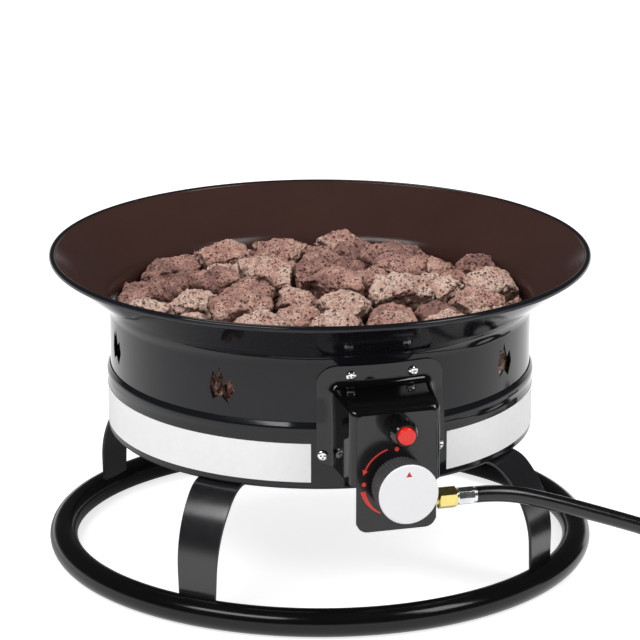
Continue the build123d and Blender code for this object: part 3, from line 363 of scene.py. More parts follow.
@dataclass(frozen=True)
class Finish:
    """What all finishes have: the record's slot that they belong to, and a colour."""

    slot: str
    colour: Colour
    label: str = ""

    def paint(self, surface: Surface) -> None:
        """Wires up the finish on a surface."""
        raise NotImplementedError

    @property
    def material(self) -> Material:
        """The finish's material, which is made on its first use.

        Returns:
            The material, shared by all the pieces with this finish.
        """
        name = f"finish_{self.label or self.slot}"
        if name not in bpy.data.materials:
            self.paint(Surface(name))
        return bpy.data.materials[name]


@dataclass(frozen=True)
class Enamel(Finish):
    """Fired or baked gloss over sheet steel, with a faint orange peel."""

    rough: float = 0.09
    peel: float = 0.03
    warm: Colour = (0.02, 0.02, 0.02)
    mirror: float = 0.5
    clouds: Grain = Grain(9.0, 5.0)
    dust: Grain = Grain(55.0, 6.0, 0.6)
    dulling: Span = (0.75, 1.35)
    skin: Grain = Grain(260.0, 2.0)
    skin_depth: float = 0.0004

    def paint(self, surface: Surface) -> None:
        """Wires up the gloss, its cloudiness and its peel.

        Args:
            surface: The surface that is wired up.
        """
        share = surface.span(surface.noise(self.clouds), CLOUDY)
        surface.join(surface.blend(share, self.colour, self.warm), "Base Color")
        surface.dulled(surface.noise(self.dust), CLOUDY, self.rough, self.dulling)
        surface.join(surface.bump(surface.noise(self.skin), self.peel, self.skin_depth), "Normal")
        surface.set(Specular_IOR_Level=self.mirror)


@dataclass(frozen=True)
class PowderCoat(Finish):
    """Baked powder on steel: a soft gloss with a fine pebbled skin and rubbed patches."""

    rough: float = 0.3
    mirror: float = 0.5
    clouds: Grain = Grain(18.0, 6.0)
    cloud_light: float = 1.7
    rubbed: Grain = Grain(90.0, 6.0, 0.6)
    dulling: Span = (0.8, 1.25)
    pebbles: Grain = Grain(900.0, 3.0)
    pebbling: float = 0.06
    pebble_depth: float = 0.00025

    def paint(self, surface: Surface) -> None:
        """Wires up the coat's pebbling and its dull patches.

        Args:
            surface: The surface that is wired up.
        """
        clouds = surface.span(surface.noise(self.clouds), CLOUDY)
        surface.join(surface.blend(clouds, self.colour, shade(self.colour, self.cloud_light)), "Base Color")
        surface.dulled(surface.noise(self.rubbed), CLOUDY, self.rough, self.dulling)
        surface.join(surface.bump(surface.noise(self.pebbles), self.pebbling, self.pebble_depth), "Normal")
        surface.set(Specular_IOR_Level=self.mirror)


@dataclass(frozen=True)
class BareMetal(Finish):
    """Plated, cast or machined metal with drawn grain, stains and a fine tooth."""

    rough: float = 0.25
    stain: Colour = (0.3, 0.3, 0.3)
    grain: Point = (1.0, 1.0, 1.0)
    tooth: float = 0.06
    stains: Grain = Grain(45.0, 6.0, 0.65)
    stained: Span = (0.42, 0.8)
    lines: Grain = Grain(900.0, 4.0, 0.6)
    lined: Span = (0.25, 0.75)
    dulling: Span = (0.7, 1.5)
    line_depth: float = 0.0002

    def paint(self, surface: Surface) -> None:
        """Wires up the stains, the grain and the tooth.

        Args:
            surface: The surface that is wired up.
        """
        stains = surface.span(surface.noise(self.stains), self.stained)
        surface.join(surface.blend(stains, self.colour, self.stain), "Base Color")
        lines = surface.noise(self.lines, surface.stretched(self.grain))
        surface.dulled(lines, self.lined, self.rough, self.dulling)
        surface.join(surface.bump(lines, self.tooth, self.line_depth), "Normal")
        surface.set(Metallic=1.0)


@dataclass(frozen=True)
class HeatedSteel(Finish):
    """Stainless steel that flames have tinted straw, brown and blue."""

    rough: float = 0.35
    tints: tuple[tuple[float, Colour], ...] = (
        (0.48, srgb(176, 142, 96)),
        (0.58, srgb(120, 84, 78)),
        (0.7, srgb(88, 96, 124)),
    )
    tint_start: float = 0.3
    tinting: Grain = Grain(30.0, 5.0, 0.6)
    soot_and_shade: Colour = srgb(48, 42, 40)
    sooting: Grain = Grain(70.0, 6.0, 0.7)
    sooted: Span = (0.5, 0.75)
    soot_and_shade_share: Span = (0.0, 0.8)
    soot_rough: float = 0.7
    skin: Grain = Grain(1200.0, 3.0)
    skin_strength: float = 0.1
    skin_depth: float = 0.0002

    def paint(self, surface: Surface) -> None:
        """Wires up the heat tints and a layer of soot.

        Args:
            surface: The surface that is wired up.
        """
        tint = surface.ramp(surface.noise(self.tinting), ((self.tint_start, self.colour), *self.tints))
        soot_and_shade = surface.span(surface.noise(self.sooting), self.sooted, self.soot_and_shade_share)
        surface.join(surface.blend(soot_and_shade, tint, self.soot_and_shade), "Base Color")
        surface.join(surface.span(soot_and_shade, self.soot_and_shade_share, (self.rough, self.soot_rough)), "Roughness")
        surface.join(surface.bump(surface.noise(self.skin), self.skin_strength, self.skin_depth), "Normal")
        surface.set(Metallic=0.9)


@dataclass(frozen=True)
class Moulding(Finish):
    """Moulded plastic or rubber with a spark-eroded skin."""

    rough: float = 0.35
    grain: float = 1600.0
    depth: float = 0.08
    dust: float = 1.35
    dusting: Grain = Grain(120.0, 6.0, 0.65)
    dusted: Span = (0.4, 0.8)
    dulling: Span = (0.85, 1.3)
    skin_detail: float = 3.0
    skin_depth: float = 0.0002

    def paint(self, surface: Surface) -> None:
        """Wires up the skin's grain and a little dust.

        Args:
            surface: The surface that is wired up.
        """
        dust = surface.span(surface.noise(self.dusting), self.dusted)
        surface.join(surface.blend(dust, self.colour, shade(self.colour, self.dust)), "Base Color")
        surface.dulled(dust, WHOLE, self.rough, self.dulling)
        skin = surface.noise(Grain(self.grain, self.skin_detail))
        surface.join(surface.bump(skin, self.depth, self.skin_depth), "Normal")
        surface.set(IOR=1.48)


@dataclass(frozen=True)
class Ceramic(Finish):
    """Glazed alumina with fine specks."""

    speck: Colour = srgb(150, 140, 125)
    speck_scale: float = 900.0
    speck_size: Span = (0.05, 0.12)
    speck_share: Span = (0.6, 0.0)
    glaze: Grain = Grain(200.0)
    glazed: Span = (0.3, 0.7)
    rough: Span = (0.2, 0.35)
    skin: Grain = Grain(500.0, 2.0)
    skin_strength: float = 0.05
    skin_depth: float = 0.0002

    def paint(self, surface: Surface) -> None:
        """Wires up the glaze and its specks.

        Args:
            surface: The surface that is wired up.
        """
        specks = surface.span(surface.cells(self.speck_scale), self.speck_size, self.speck_share)
        surface.join(surface.blend(specks, self.colour, self.speck), "Base Color")
        surface.join(surface.span(surface.noise(self.glaze), self.glazed, self.rough), "Roughness")
        surface.join(surface.bump(surface.noise(self.skin), self.skin_strength, self.skin_depth), "Normal")


@dataclass(frozen=True)
class LavaRock(Finish):
    """Porous volcanic rock: a pink brown that differs from lump to lump, full of dark pits, with painted
    shade on the lumps' sides.
    """

    pale: Colour = (0.55, 0.34, 0.27)
    dark: Colour = (0.16, 0.1, 0.09)
    pit: Colour = (0.06, 0.02, 0.012)
    clouds: Grain = Grain(46.0, 8.0, 0.7)
    clouded: Span = (0.3, 0.7)
    lump_shift: Span = (-0.45, 0.45)
    middle: float = 0.45
    sand: Grain = Grain(620.0, 8.0, 0.8)
    sanded: Span = (0.38, 0.58)
    sand_share: Span = (0.8, 0.0)
    sand_shade: float = 0.4
    sand_relief: tuple[float, float] = (0.7, 0.0016)
    # Painted shade: faces that look sideways or down are darkened towards the pit colour, by these shares
    # along the normal's height
    shade_slope: Span = (-0.15, 0.5)
    soot_and_shade_share: Span = (0.8, 0.0)
    large_pits: tuple[float, Span] = (170.0, (0.16, 0.34))
    small_pits: tuple[float, Span] = (330.0, (0.16, 0.38))
    large_patches: tuple[Grain, Span] = (Grain(52.0, 3.0), (0.42, 0.56))
    small_patches: tuple[Grain, Span] = (Grain(70.0, 3.0), (0.34, 0.5))
    pit_share: float = 0.92
    pit_relief: tuple[float, float] = (0.8, 0.0018)

    def pits(self, surface: Surface, holes: tuple[float, Span], patches: tuple[Grain, Span]) -> NodeSocket:
        """Pits of one size, in patches.

        Args:
            surface: The rock's surface.
            holes: How many pits there are in a metre, and where they start and end.
            patches: The noise that sets the patches, and its range.

        Returns:
            1 in a pit and 0 beside it.
        """
        scale, size = holes
        grain, edge = patches
        pitted = surface.span(surface.cells(scale), size, WHOLE[::-1])
        return surface.math(Sum.TIMES, pitted, surface.span(surface.noise(grain), edge))

    def paint(self, surface: Surface) -> None:
        """Wires up the lumps' colours, their pits at two sizes, a sandy skin and painted shade on the sides
        and undersides.

        Args:
            surface: The surface that is wired up.
        """
        clouds = surface.span(surface.noise(self.clouds), self.clouded)
        lump = surface.span(surface.island(), WHOLE, self.lump_shift)
        share = surface.span(surface.math(Sum.ADD, clouds, lump), WHOLE)
        body = surface.ramp(share, ((0.0, self.dark), (self.middle, self.colour), (1.0, self.pale)))
        sand = surface.noise(self.sand)
        grit = surface.span(sand, self.sanded, self.sand_share)
        body = surface.blend(grit, body, shade(self.dark, self.sand_shade))
        # Painted shade: the lumps' sides and undersides are darkened towards the pit colour, more the further
        # down they look
        soot_and_shade = surface.span(surface.upwards(), self.shade_slope, self.soot_and_shade_share)
        body = surface.blend(soot_and_shade, body, self.pit)
        large = self.pits(surface, self.large_pits, self.large_patches)
        small = self.pits(surface, self.small_pits, self.small_patches)
        pits = surface.math(Sum.LARGER, large, small)
        body = surface.blend(surface.math(Sum.TIMES, pits, self.pit_share), body, self.pit)
        surface.join(body, "Base Color")
        surface.set(Roughness=0.95, Specular_IOR_Level=0.15)
        hollow = surface.bump(surface.span(pits, WHOLE, WHOLE[::-1]), *self.pit_relief)
        surface.join(surface.bump(sand, *self.sand_relief, hollow), "Normal")


@dataclass(frozen=True)
class BareLabel(Finish):
    """A blank foil label: a pale satin grey with a faint mottle."""

    mottle: Grain = Grain(160.0, 6.0, 0.6)
    mottled: Span = (0.3, 0.7)
    mottle_shade: float = 0.96
    satin: Grain = Grain(40.0)
    rough: Span = (0.38, 0.52)
    skin: Grain = Grain(700.0)
    skin_strength: float = 0.04
    skin_depth: float = 0.0001

    def paint(self, surface: Surface) -> None:
        """Wires up the label's mottle and its satin.

        Args:
            surface: The surface that is wired up.
        """
        mottle = surface.span(surface.noise(self.mottle), self.mottled)
        surface.join(surface.blend(mottle, self.colour, shade(self.colour, self.mottle_shade)), "Base Color")
        surface.join(surface.span(surface.noise(self.satin), self.mottled, self.rough), "Roughness")
        surface.join(surface.bump(surface.noise(self.skin), self.skin_strength, self.skin_depth), "Normal")


BOWL_OUTSIDE = Enamel("bowl_enamel", srgb(20, 21, 25), peel=0.008, warm=srgb(24, 25, 29), mirror=0.26)
BOWL_INSIDE = Enamel(
    "bowl_enamel", srgb(56, 37, 33), "bowl_inside", rough=0.2, peel=0.02, warm=srgb(63, 43, 38), mirror=0.22
)
PAN_COAT = Enamel("black_coat", srgb(20, 21, 24), "pan_coat", peel=0.01, warm=srgb(24, 25, 28), mirror=0.3)
BLACK_COAT = PowderCoat("black_coat", srgb(9, 9, 10), rough=0.15, mirror=0.28)
# The straps wear the ring's black coat in a lighter colour: painted light for the grey that the straps catch
STRAP_COAT = PowderCoat("black_coat", srgb(25, 25, 27), "strap_coat", rough=0.19, mirror=0.6)
HOUSING_ENAMEL = Enamel(
    "housing_enamel", srgb(9, 9, 10), rough=0.08, peel=0.02, warm=srgb(12, 12, 13), mirror=0.42
)
PANEL_ENAMEL = Enamel(
    "housing_enamel", srgb(27, 27, 29), "panel_enamel", rough=0.16, warm=srgb(31, 31, 33), mirror=0.4
)
BRIGHT_SCREWS = BareMetal("bright_screws", srgb(226, 228, 231), rough=0.12, stain=srgb(190, 192, 196))
ZINC = BareMetal("zinc_steel", srgb(178, 182, 186), rough=0.32, stain=srgb(120, 122, 122))
CASTING = BareMetal("valve_casting", srgb(150, 152, 154), rough=0.45, stain=srgb(108, 108, 106), tooth=0.2)
BRASS = BareMetal("brass", srgb(214, 198, 124), rough=0.2, stain=srgb(180, 160, 92), grain=(0.15, 1, 1))
SPRING = BareMetal("spring_steel", srgb(150, 150, 152), rough=0.3, stain=srgb(96, 92, 90))
CRIMP = BareMetal("crimp_steel", srgb(216, 217, 219), rough=0.2, stain=srgb(176, 176, 178), grain=(0.1, 1, 1))
HOSE_RUBBER = Moulding("hose_rubber", srgb(14, 14, 15), rough=0.22, grain=900.0, depth=0.006)
TIE = Moulding("tie_plastic", srgb(20, 20, 21), rough=0.4)
REGULATOR = PowderCoat("regulator_paint", srgb(118, 122, 124), rough=0.38)
NUT_PLASTIC = Moulding("nut_plastic", srgb(18, 18, 19), rough=0.35)
BURNER = HeatedSteel("burner_steel", srgb(168, 164, 158))
GLOSS_PLASTIC = Moulding("igniter_plastic", srgb(10, 10, 10), rough=0.1, depth=0.02)
RED = Moulding("red_plastic", srgb(224, 36, 26), rough=0.2, depth=0.03, dust=1.05)
WIRE = Moulding("wire_rubber", srgb(26, 24, 24), rough=0.45)
CERAMIC = Ceramic("white_ceramic", srgb(226, 222, 212))
KNOB = Moulding("knob_plastic", srgb(72, 72, 74), rough=0.42)
KNOB_FACE = Moulding("knob_face", srgb(236, 236, 238), rough=0.34, depth=0.0, dust=0.98)
POINTER = Moulding("red_plastic", srgb(190, 26, 22), "pointer_print", rough=0.4, dust=1.05)
DIAL_PRINT = Moulding("red_plastic", srgb(236, 66, 52), "dial_print", rough=0.4, dust=1.05)
ROCK = LavaRock(
    "lava_rock", srgb(204, 158, 143), pale=srgb(238, 208, 190), dark=srgb(146, 110, 103), pit=srgb(58, 34, 27)
)
LABEL = BareLabel("white_ceramic", srgb(246, 246, 247), "bare_label")


def polar(radius: float, azimuth: float, height: float) -> Vector:
    """A point at a plan radius, azimuth and height."""
    turn = math.radians(azimuth)
    return Vector((radius * math.sin(turn), -radius * math.cos(turn), height))


def round_to(azimuth: float) -> Matrix:
    """The turn about the bowl's axis that takes the front to an azimuth."""
    return Matrix.Rotation(math.radians(azimuth), 4, "Z")


def meshed(name: str, bm: BMesh) -> Mesh:
    """A form as a mesh, which uses the form up.

    Args:
        name: The mesh's name.
        bm: The form.

    Returns:
        The mesh.
    """
    mesh = bpy.data.meshes.new(name)
    bm.to_mesh(mesh)
    bm.free()
    return mesh


def shown(name: str, data: ID) -> Object:
    """A mesh, curve, lamp or camera as a new object in the scene.

    Args:
        name: The object's name.
        data: What it shows.

    Returns:
        The object, at the origin.
    """
    thing = bpy.data.objects.new(name, data)
    bpy.context.scene.collection.objects.link(thing)
    return thing


def close_up(bm: BMesh) -> BMesh:
    """Merges a form's doubles and points its faces outwards.

    Args:
        bm: The form.

    Returns:
        The same form.
    """
    bmesh.ops.remove_doubles(bm, verts=bm.verts, dist=MERGE_REACH)
    bmesh.ops.recalc_face_normals(bm, faces=bm.faces)
    return bm


def round_off(
    bm: BMesh,
    geom: Sequence[BMVert] | Sequence[BMEdge],
    reach: float,
    kind: Rounding,
    segments: int = CORNER_STEPS,
    clamp: bool = True,
) -> None:
    """Rounds corners or edges of a form.

    Args:
        bm: The form.
        geom: The corners or edges.
        reach: How far the rounding reaches from each of them.
        kind: Which of the two they are.
        segments: How many steps the rounding has.
        clamp: Whether two roundings stop where they meet.
    """
    bmesh.ops.bevel(
        bm,
        geom=geom,
        offset=reach,
        offset_type="OFFSET",
        segments=segments,
        profile=0.5,
        affect=kind.value,
        clamp_overlap=clamp,
        material=-1,
    )


def swept(
    bm: BMesh,
    geom: Sequence[BMVert | BMEdge],
    centre: Point,
    axis: Point,
    degrees: float,
    steps: int,
    merge: bool = False,
) -> list[BMVert | BMEdge]:
    """Sweeps corners or edges round an axis.

    Args:
        bm: The form that they belong to.
        geom: The corners or edges.
        centre: A point of the axis.
        axis: The axis's way.
        degrees: How far round they go.
        steps: How many straight pieces the sweep has.
        merge: Whether the end of a full turn is merged with its start.

    Returns:
        What lies at the end of the sweep.
    """
    made = bmesh.ops.spin(
        bm,
        geom=geom,
        cent=centre,
        axis=axis,
        dvec=(0.0, 0.0, 0.0),
        angle=math.radians(degrees),
        steps=steps,
        use_merge=merge,
        use_normal_flip=False,
        use_duplicate=False,
    )
    return made["geom_last"]


def drawn_out(bm: BMesh, length: float) -> BMesh:
    """Draws a flat form out along Z, to a closed one.

    Args:
        bm: The flat form.
        length: How far it is drawn out.

    Returns:
        The same form, closed.
    """
    drawn = bmesh.ops.extrude_face_region(bm, geom=list(bm.faces), use_keep_orig=True)
    moved = [item for item in drawn["geom"] if isinstance(item, BMVert)]
    bmesh.ops.translate(bm, verts=moved, vec=(0.0, 0.0, length))
    return close_up(bm)


def soften(bm: BMesh, width: float, segments: int = 2, angle: float = 30.0) -> BMesh:
    """Rounds the sharp edges of a form.

    Args:
        bm: The form.
        width: How far the rounding reaches from each edge.
        segments: How many steps the rounding has.
        angle: The least angle between two faces that counts as sharp, in degrees.

    Returns:
        The same form.
    """
    sharp = [e for e in bm.edges if e.is_manifold and e.calc_face_angle(0.0) > math.radians(angle)]
    round_off(bm, sharp, width, Rounding.EDGES, segments)
    return bm


def joined(forms: Iterable[BMesh]) -> BMesh:
    """Several forms gathered in one mesh.

    Args:
        forms: The forms, which are used up.

    Returns:
        A mesh of them all.
    """
    whole = bmesh.new()
    for form in forms:
        part = meshed("part", form)
        whole.from_mesh(part)
        bpy.data.meshes.remove(part)
    return whole


def copied(bm: BMesh, places: Iterable[Matrix]) -> BMesh:
    """One form set down at several places.

    Args:
        bm: The form, which is used up.
        places: The transform of each copy.

    Returns:
        A mesh of all the copies.
    """
    forms = []
    for place in places:
        form = bm.copy()
        form.transform(place)
        forms.append(form)
    bm.free()
    return joined(forms)


def carved(bm: BMesh, tool: BMesh, keep: Cut = Cut.OUTSIDE) -> BMesh:
    """One closed form cut by another.

    Args:
        bm: The form that is cut, which is used up.
        tool: The form that cuts it, which is used up.
        keep: Which part of the first form is kept.

    Returns:
        The form that is left.
    """
    thing, cutter = (shown("loose", meshed("loose", form)) for form in (bm, tool))
    step = thing.modifiers.new("cut", "BOOLEAN")
    step.operation = keep.value
    step.solver = "EXACT"
    step.object = cutter
    left = bmesh.new()
    left.from_object(thing, bpy.context.evaluated_depsgraph_get())
    for used in (thing, cutter):
        mesh = used.data
        bpy.data.objects.remove(used)
        bpy.data.meshes.remove(mesh)
    return left


class Section:
    """A section in the XZ plane, drawn from point to point, that is turned about Z."""

    def __init__(self, radius: float, height: float) -> None:
        """Starts the section at a point.

        Args:
            radius: The point's distance from the axis.
            height: The point's place along the axis.
        """
        self.bm = bmesh.new()
        self.first = self.last = self.bm.verts.new((radius, 0.0, height))
        self.corners: list[tuple[BMVert, float]] = []

    def to(self, radius: float, height: float, corner: float = 0.0) -> "Section":
        """Draws a straight stretch.

        Args:
            radius: The end's distance from the axis.
            height: The end's place along the axis.
            corner: How far a rounding reaches from the end, or 0 for a sharp corner.

        Returns:
            The section.
        """
        vert = self.bm.verts.new((radius, 0.0, height))
        self.bm.edges.new((self.last, vert))
        self.last = vert
        if corner:
            self.corners.append((vert, corner))
        return self

    def arc(self, radius: float, height: float, degrees: float, steps: int) -> "Section":
        """Draws an arc about a centre, outwards and up where the angle is positive.

        Args:
            radius: The centre's distance from the axis.
            height: The centre's place along the axis.
            degrees: How far round the arc goes.
            steps: How many straight pieces it has.

        Returns:
            The section.
        """
        ends = swept(self.bm, [self.last], (radius, 0.0, height), (0.0, -1.0, 0.0), degrees, steps)
        self.last = next(item for item in ends if isinstance(item, BMVert))
        return self

    def closed(self) -> "Section":
        """Draws a straight stretch back to the start."""
        self.bm.edges.new((self.last, self.first))
        return self

    def turned(self, steps: int, angle: float = FULL_TURN, place: Matrix | None = None) -> BMesh:
        """Turns the section about Z.

        Args:
            steps: How many steps the turn has.
            angle: How far round it goes, in degrees.
            place: A transform for the turned form.

        Returns:
            The turned form.
        """
        for vert, reach in self.corners:
            round_off(self.bm, [vert], reach, Rounding.CORNERS)
        outline, up = [*self.bm.verts, *self.bm.edges], (0.0, 0.0, 1.0)
        swept(self.bm, outline, (0.0, 0.0, 0.0), up, angle, steps, angle == FULL_TURN)
        close_up(self.bm)
        if place is not None:
            self.bm.transform(place)
        return self.bm


def prism(outline: Sequence[Span], start: float, end: float, rounding: float | Sequence[float] = ()) -> BMesh:
    """A flat outline drawn out along Z.

    Args:
        outline: The outline's corners.
        start: Where the form starts along Z.
        end: Where it ends.
        rounding: How far a rounding reaches from every corner, or from each one in turn.

    Returns:
        The closed form.
    """
    bm = bmesh.new()
    corners = [bm.verts.new((x, y, start)) for x, y in outline]
    bm.faces.new(corners)
    reaches = [rounding] * len(corners) if isinstance(rounding, float) else rounding
    for corner, reach in zip(corners, reaches):
        round_off(bm, [corner], reach, Rounding.CORNERS)
    return drawn_out(bm, end - start)


def oblong(half: float, low: float, high: float) -> list[Span]:
    """The corners of a rectangle about the middle line, from the lower left one round."""
    return [(-half, low), (half, low), (half, high), (-half, high)]


def rod(radius: float, start: float, end: float) -> Section:
    """The section of a plain round rod along Z."""
    return Section(0.0, start).to(radius, start).to(radius, end).to(0.0, end)


def band(inner: float, outer: float, low: float, high: float) -> Section:
    """The section of a ring with plain sides."""
    return Section(inner, low).to(outer, low).to(outer, high).to(inner, high).closed()


def ends_filled(bm: BMesh) -> BMesh:
    """Fills the open ends of a form that was turned part of the way round."""
    bmesh.ops.holes_fill(bm, edges=[edge for edge in bm.edges if edge.is_boundary], sides=0)
    return close_up(bm)


def capped(profile: Profile) -> Section:
    """A section from the axis, level with a profile's first point, along the profile.

    Args:
        profile: Each point's radius, height and rounding.

    Returns:
        The section.
    """
    section = Section(0.0, profile[0][1])
    for point in profile:
        section.to(*point)
    return section


def ribbed(radius: float, depth: float, ribs: int, start: float, end: float) -> BMesh:
    """A round length with fine straight ribs along it.

    Args:
        radius: The ribs' outer radius.
        depth: How deep the grooves between them are.
        ribs: How many ribs there are.
        start: Where the length starts along Z.
        end: Where it ends.

    Returns:
        The closed form.
    """
    bm = bmesh.new()
    rim = bmesh.ops.create_circle(bm, cap_ends=True, segments=RIB_POINTS * ribs, radius=radius)["verts"]
    grooves = [vert for k, vert in enumerate(rim) if k % RIB_POINTS in (0, 1)]
    share = 1.0 - depth / radius
    bmesh.ops.scale(bm, verts=grooves, vec=(share, share, 1.0))
    bmesh.ops.translate(bm, verts=rim, vec=(0.0, 0.0, start))
    return drawn_out(bm, end - start)


def hexagon(across_flats: float, start: float, end: float, bore: float = 0.0) -> BMesh:
    """A nut or bolt head with chamfered corners.

    Args:
        across_flats: The distance between opposite flats.
        start: Where it starts along Z.
        end: Where it ends.
        bore: The radius of a hole through it, or 0 for none.

    Returns:
        The closed form.
    """
    corner = across_flats / math.sqrt(3.0)
    bm = bmesh.new()
    rim = bmesh.ops.create_circle(bm, cap_ends=True, segments=6, radius=corner)["verts"]
    bmesh.ops.translate(bm, verts=rim, vec=(0.0, 0.0, start))
    drawn_out(bm, end - start)
    face, past = across_flats * NUT_FACE, corner * NUT_CLEARANCE
    slope = (corner - face) * NUT_SLOPE
    envelope = Section(bore, start).to(face, start).to(past, start + slope)
    envelope.to(past, end - slope).to(face, end).to(bore, end)
    if bore:
        envelope.closed()
    return carved(bm, envelope.turned(NUT_STEPS), Cut.INSIDE)


def placed(
    name: str,
    bm: BMesh,
    finishes: Finish | Sequence[Finish],
    body: Body = Body.PIT,
    replaces: Sequence[str] = (),
    crease: float = 40.0,
) -> Object:
    """Makes a finished form a piece of the pit.

    Args:
        name: The piece's name.
        bm: Its form, in the frame's own place, which is used up.
        finishes: Its finish, or one for each of its faces' material numbers.
        body: The body that it rides on.
        replaces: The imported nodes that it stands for.
        crease: The angle above which an edge looks sharp, in degrees.

    Returns:
        The piece.
    """
    coats = [finishes] if isinstance(finishes, Finish) else list(finishes)
    mesh = meshed(name, bm)
    mesh.shade_smooth()
    mesh.set_sharp_from_angle(angle=math.radians(crease))
    for coat in coats:
        mesh.materials.append(coat.material)
    piece = shown(name, mesh)
    if crease < SMOOTH_CREASE:
        piece.modifiers.new("even_normals", "WEIGHTED_NORMAL").keep_sharp = True
    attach(piece, body.value)
    if replaces:
        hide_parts(*replaces)
    log.info("%s: %d faces on %s", name, len(mesh.polygons), body.value)
    return piece


def merged_copy(node: str) -> BMesh:
    """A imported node's mesh, merged, with its flat faces whole again.

    Args:
        node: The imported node.

    Returns:
        The merged copy.
    """
    bm = bmesh.new()
    bm.from_mesh(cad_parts[node].data)
    bmesh.ops.remove_doubles(bm, verts=bm.verts, dist=PACKED_MERGE_REACH)
    bmesh.ops.dissolve_limit(
        bm,
        angle_limit=math.radians(FLAT_ANGLE),
        use_dissolve_boundaries=False,
        verts=bm.verts,
        edges=bm.edges,
        delimit=set(),
    )
    return bm


def eased_copy(node: str, name: str, finish: Finish, edge: float, body: Body = Body.PIT) -> Object:
    """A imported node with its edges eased, as on a real casting or pressing.

    Args:
        node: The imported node.
        name: The new piece's name.
        finish: Its finish.
        edge: How far the easing reaches from each edge.
        body: The body that it rides on.

    Returns:
        The piece that stands for the node.
    """
    return placed(name, soften(merged_copy(node), edge), finish, body, [node])


def dressed(node: str, finish: Finish) -> None:
    """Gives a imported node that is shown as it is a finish.

    Args:
        node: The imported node.
        finish: Its finish.
    """
    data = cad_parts[node].data
    data.materials.clear()
    data.materials.append(finish.material)
    log.info("%s: packed form, %s", node, finish.slot)


@dataclass
class FireBowl:
    """The spun bowl: a foot, a wall with flame vents, a flare and a rolled rim."""

    sheet: float = 0.0012
    radius: float = 0.1885
    foot_width: float = 0.024
    foot_bottom: float = 0.1185
    flare_start: float = 0.234
    flare_end: float = 0.2724
    bead_middle: float = 0.2387
    bead: float = 0.003
    bend: float = 0.009
    foot_bend: float = 0.003
    foot_inside_bend: float = 0.002
    bead_turn: float = 262.0
    bead_steps: int = 14
    bead_brown: float = 1.7
    level_face: float = 0.75
    steps: int = 192
    vent_count: int = 7
    vent_first: float = 42.7
    vent_size: tuple[float, float] = (0.024, 0.032)
    vent_height: float = 0.2044
    vent_cut: float = 0.012
    vent_corner: float = 0.0011
    vent_outline: tuple[Span, ...] = (
        (-0.09, 0.5),
        (-0.19, 0.25),
        (-0.37, 0.37),
        (-0.5, -0.1),
        (-0.38, -0.43),
        (-0.06, -0.28),
        (0.25, -0.5),
        (0.5, -0.12),
        (0.36, 0.22),
        (0.13, 0.06),
    )

    def shell(self) -> BMesh:
        """The bowl's sheet with its rolled rim, brown inside and black outside.

        Returns:
            The closed sheet, with 1 as the material number of its brown faces.
        """
        rise = (self.flare_end - self.flare_start) / (self.bead_middle - self.radius)
        up = self.sheet * math.hypot(1.0, rise)
        inside = self.radius - self.sheet
        foot, floor = self.radius - self.foot_width, self.foot_bottom + self.sheet
        rim = Section(foot, self.foot_bottom)
        rim.to(self.radius, self.foot_bottom, self.foot_bend).to(self.radius, self.flare_start, self.bend)
        rim.to(self.bead_middle, self.flare_end)
        rim.arc(self.bead_middle, self.flare_end + self.bead, self.bead_turn, self.bead_steps)
        rim.to(inside, self.flare_start + up - rise * self.sheet, self.bend)
        rim.to(inside, floor, self.foot_inside_bend).to(foot, floor)
        bm = rim.closed().turned(self.steps)
        bead_top = self.flare_end + self.bead_brown * self.bead
        for face in bm.faces:
            middle = face.calc_center_median()
            inwards = face.normal.dot(Vector((middle.x, middle.y, 0.0))) < 0.0
            inner = inwards or face.normal.z > self.level_face
            face.material_index = int(inner and middle.z < bead_top)
        return bm

    def vents(self) -> BMesh:
        """The flames that are cut through the wall.

        Returns:
            A cutting form for all the vents.
        """
        width, height = self.vent_size
        outline = [(x * width, y * height) for x, y in self.vent_outline]
        flame = prism(outline, self.radius - self.vent_cut, self.radius + self.vent_cut, self.vent_corner)
        step = (FULL_TURN - 2 * self.vent_first) / (self.vent_count - 1)
        azimuths = (self.vent_first + k * step for k in range(self.vent_count))
        facing = Facing.FRONT.at((0.0, 0.0, self.vent_height))
        return copied(flame, (round_to(azimuth) @ facing for azimuth in azimuths))

    def build(self) -> None:
        """Makes the bowl."""
        form = carved(self.shell(), self.vents())
        placed("bowl_shell", form, (BOWL_OUTSIDE, BOWL_INSIDE), replaces=["fire_bowl"], crease=SHEET_CREASE)


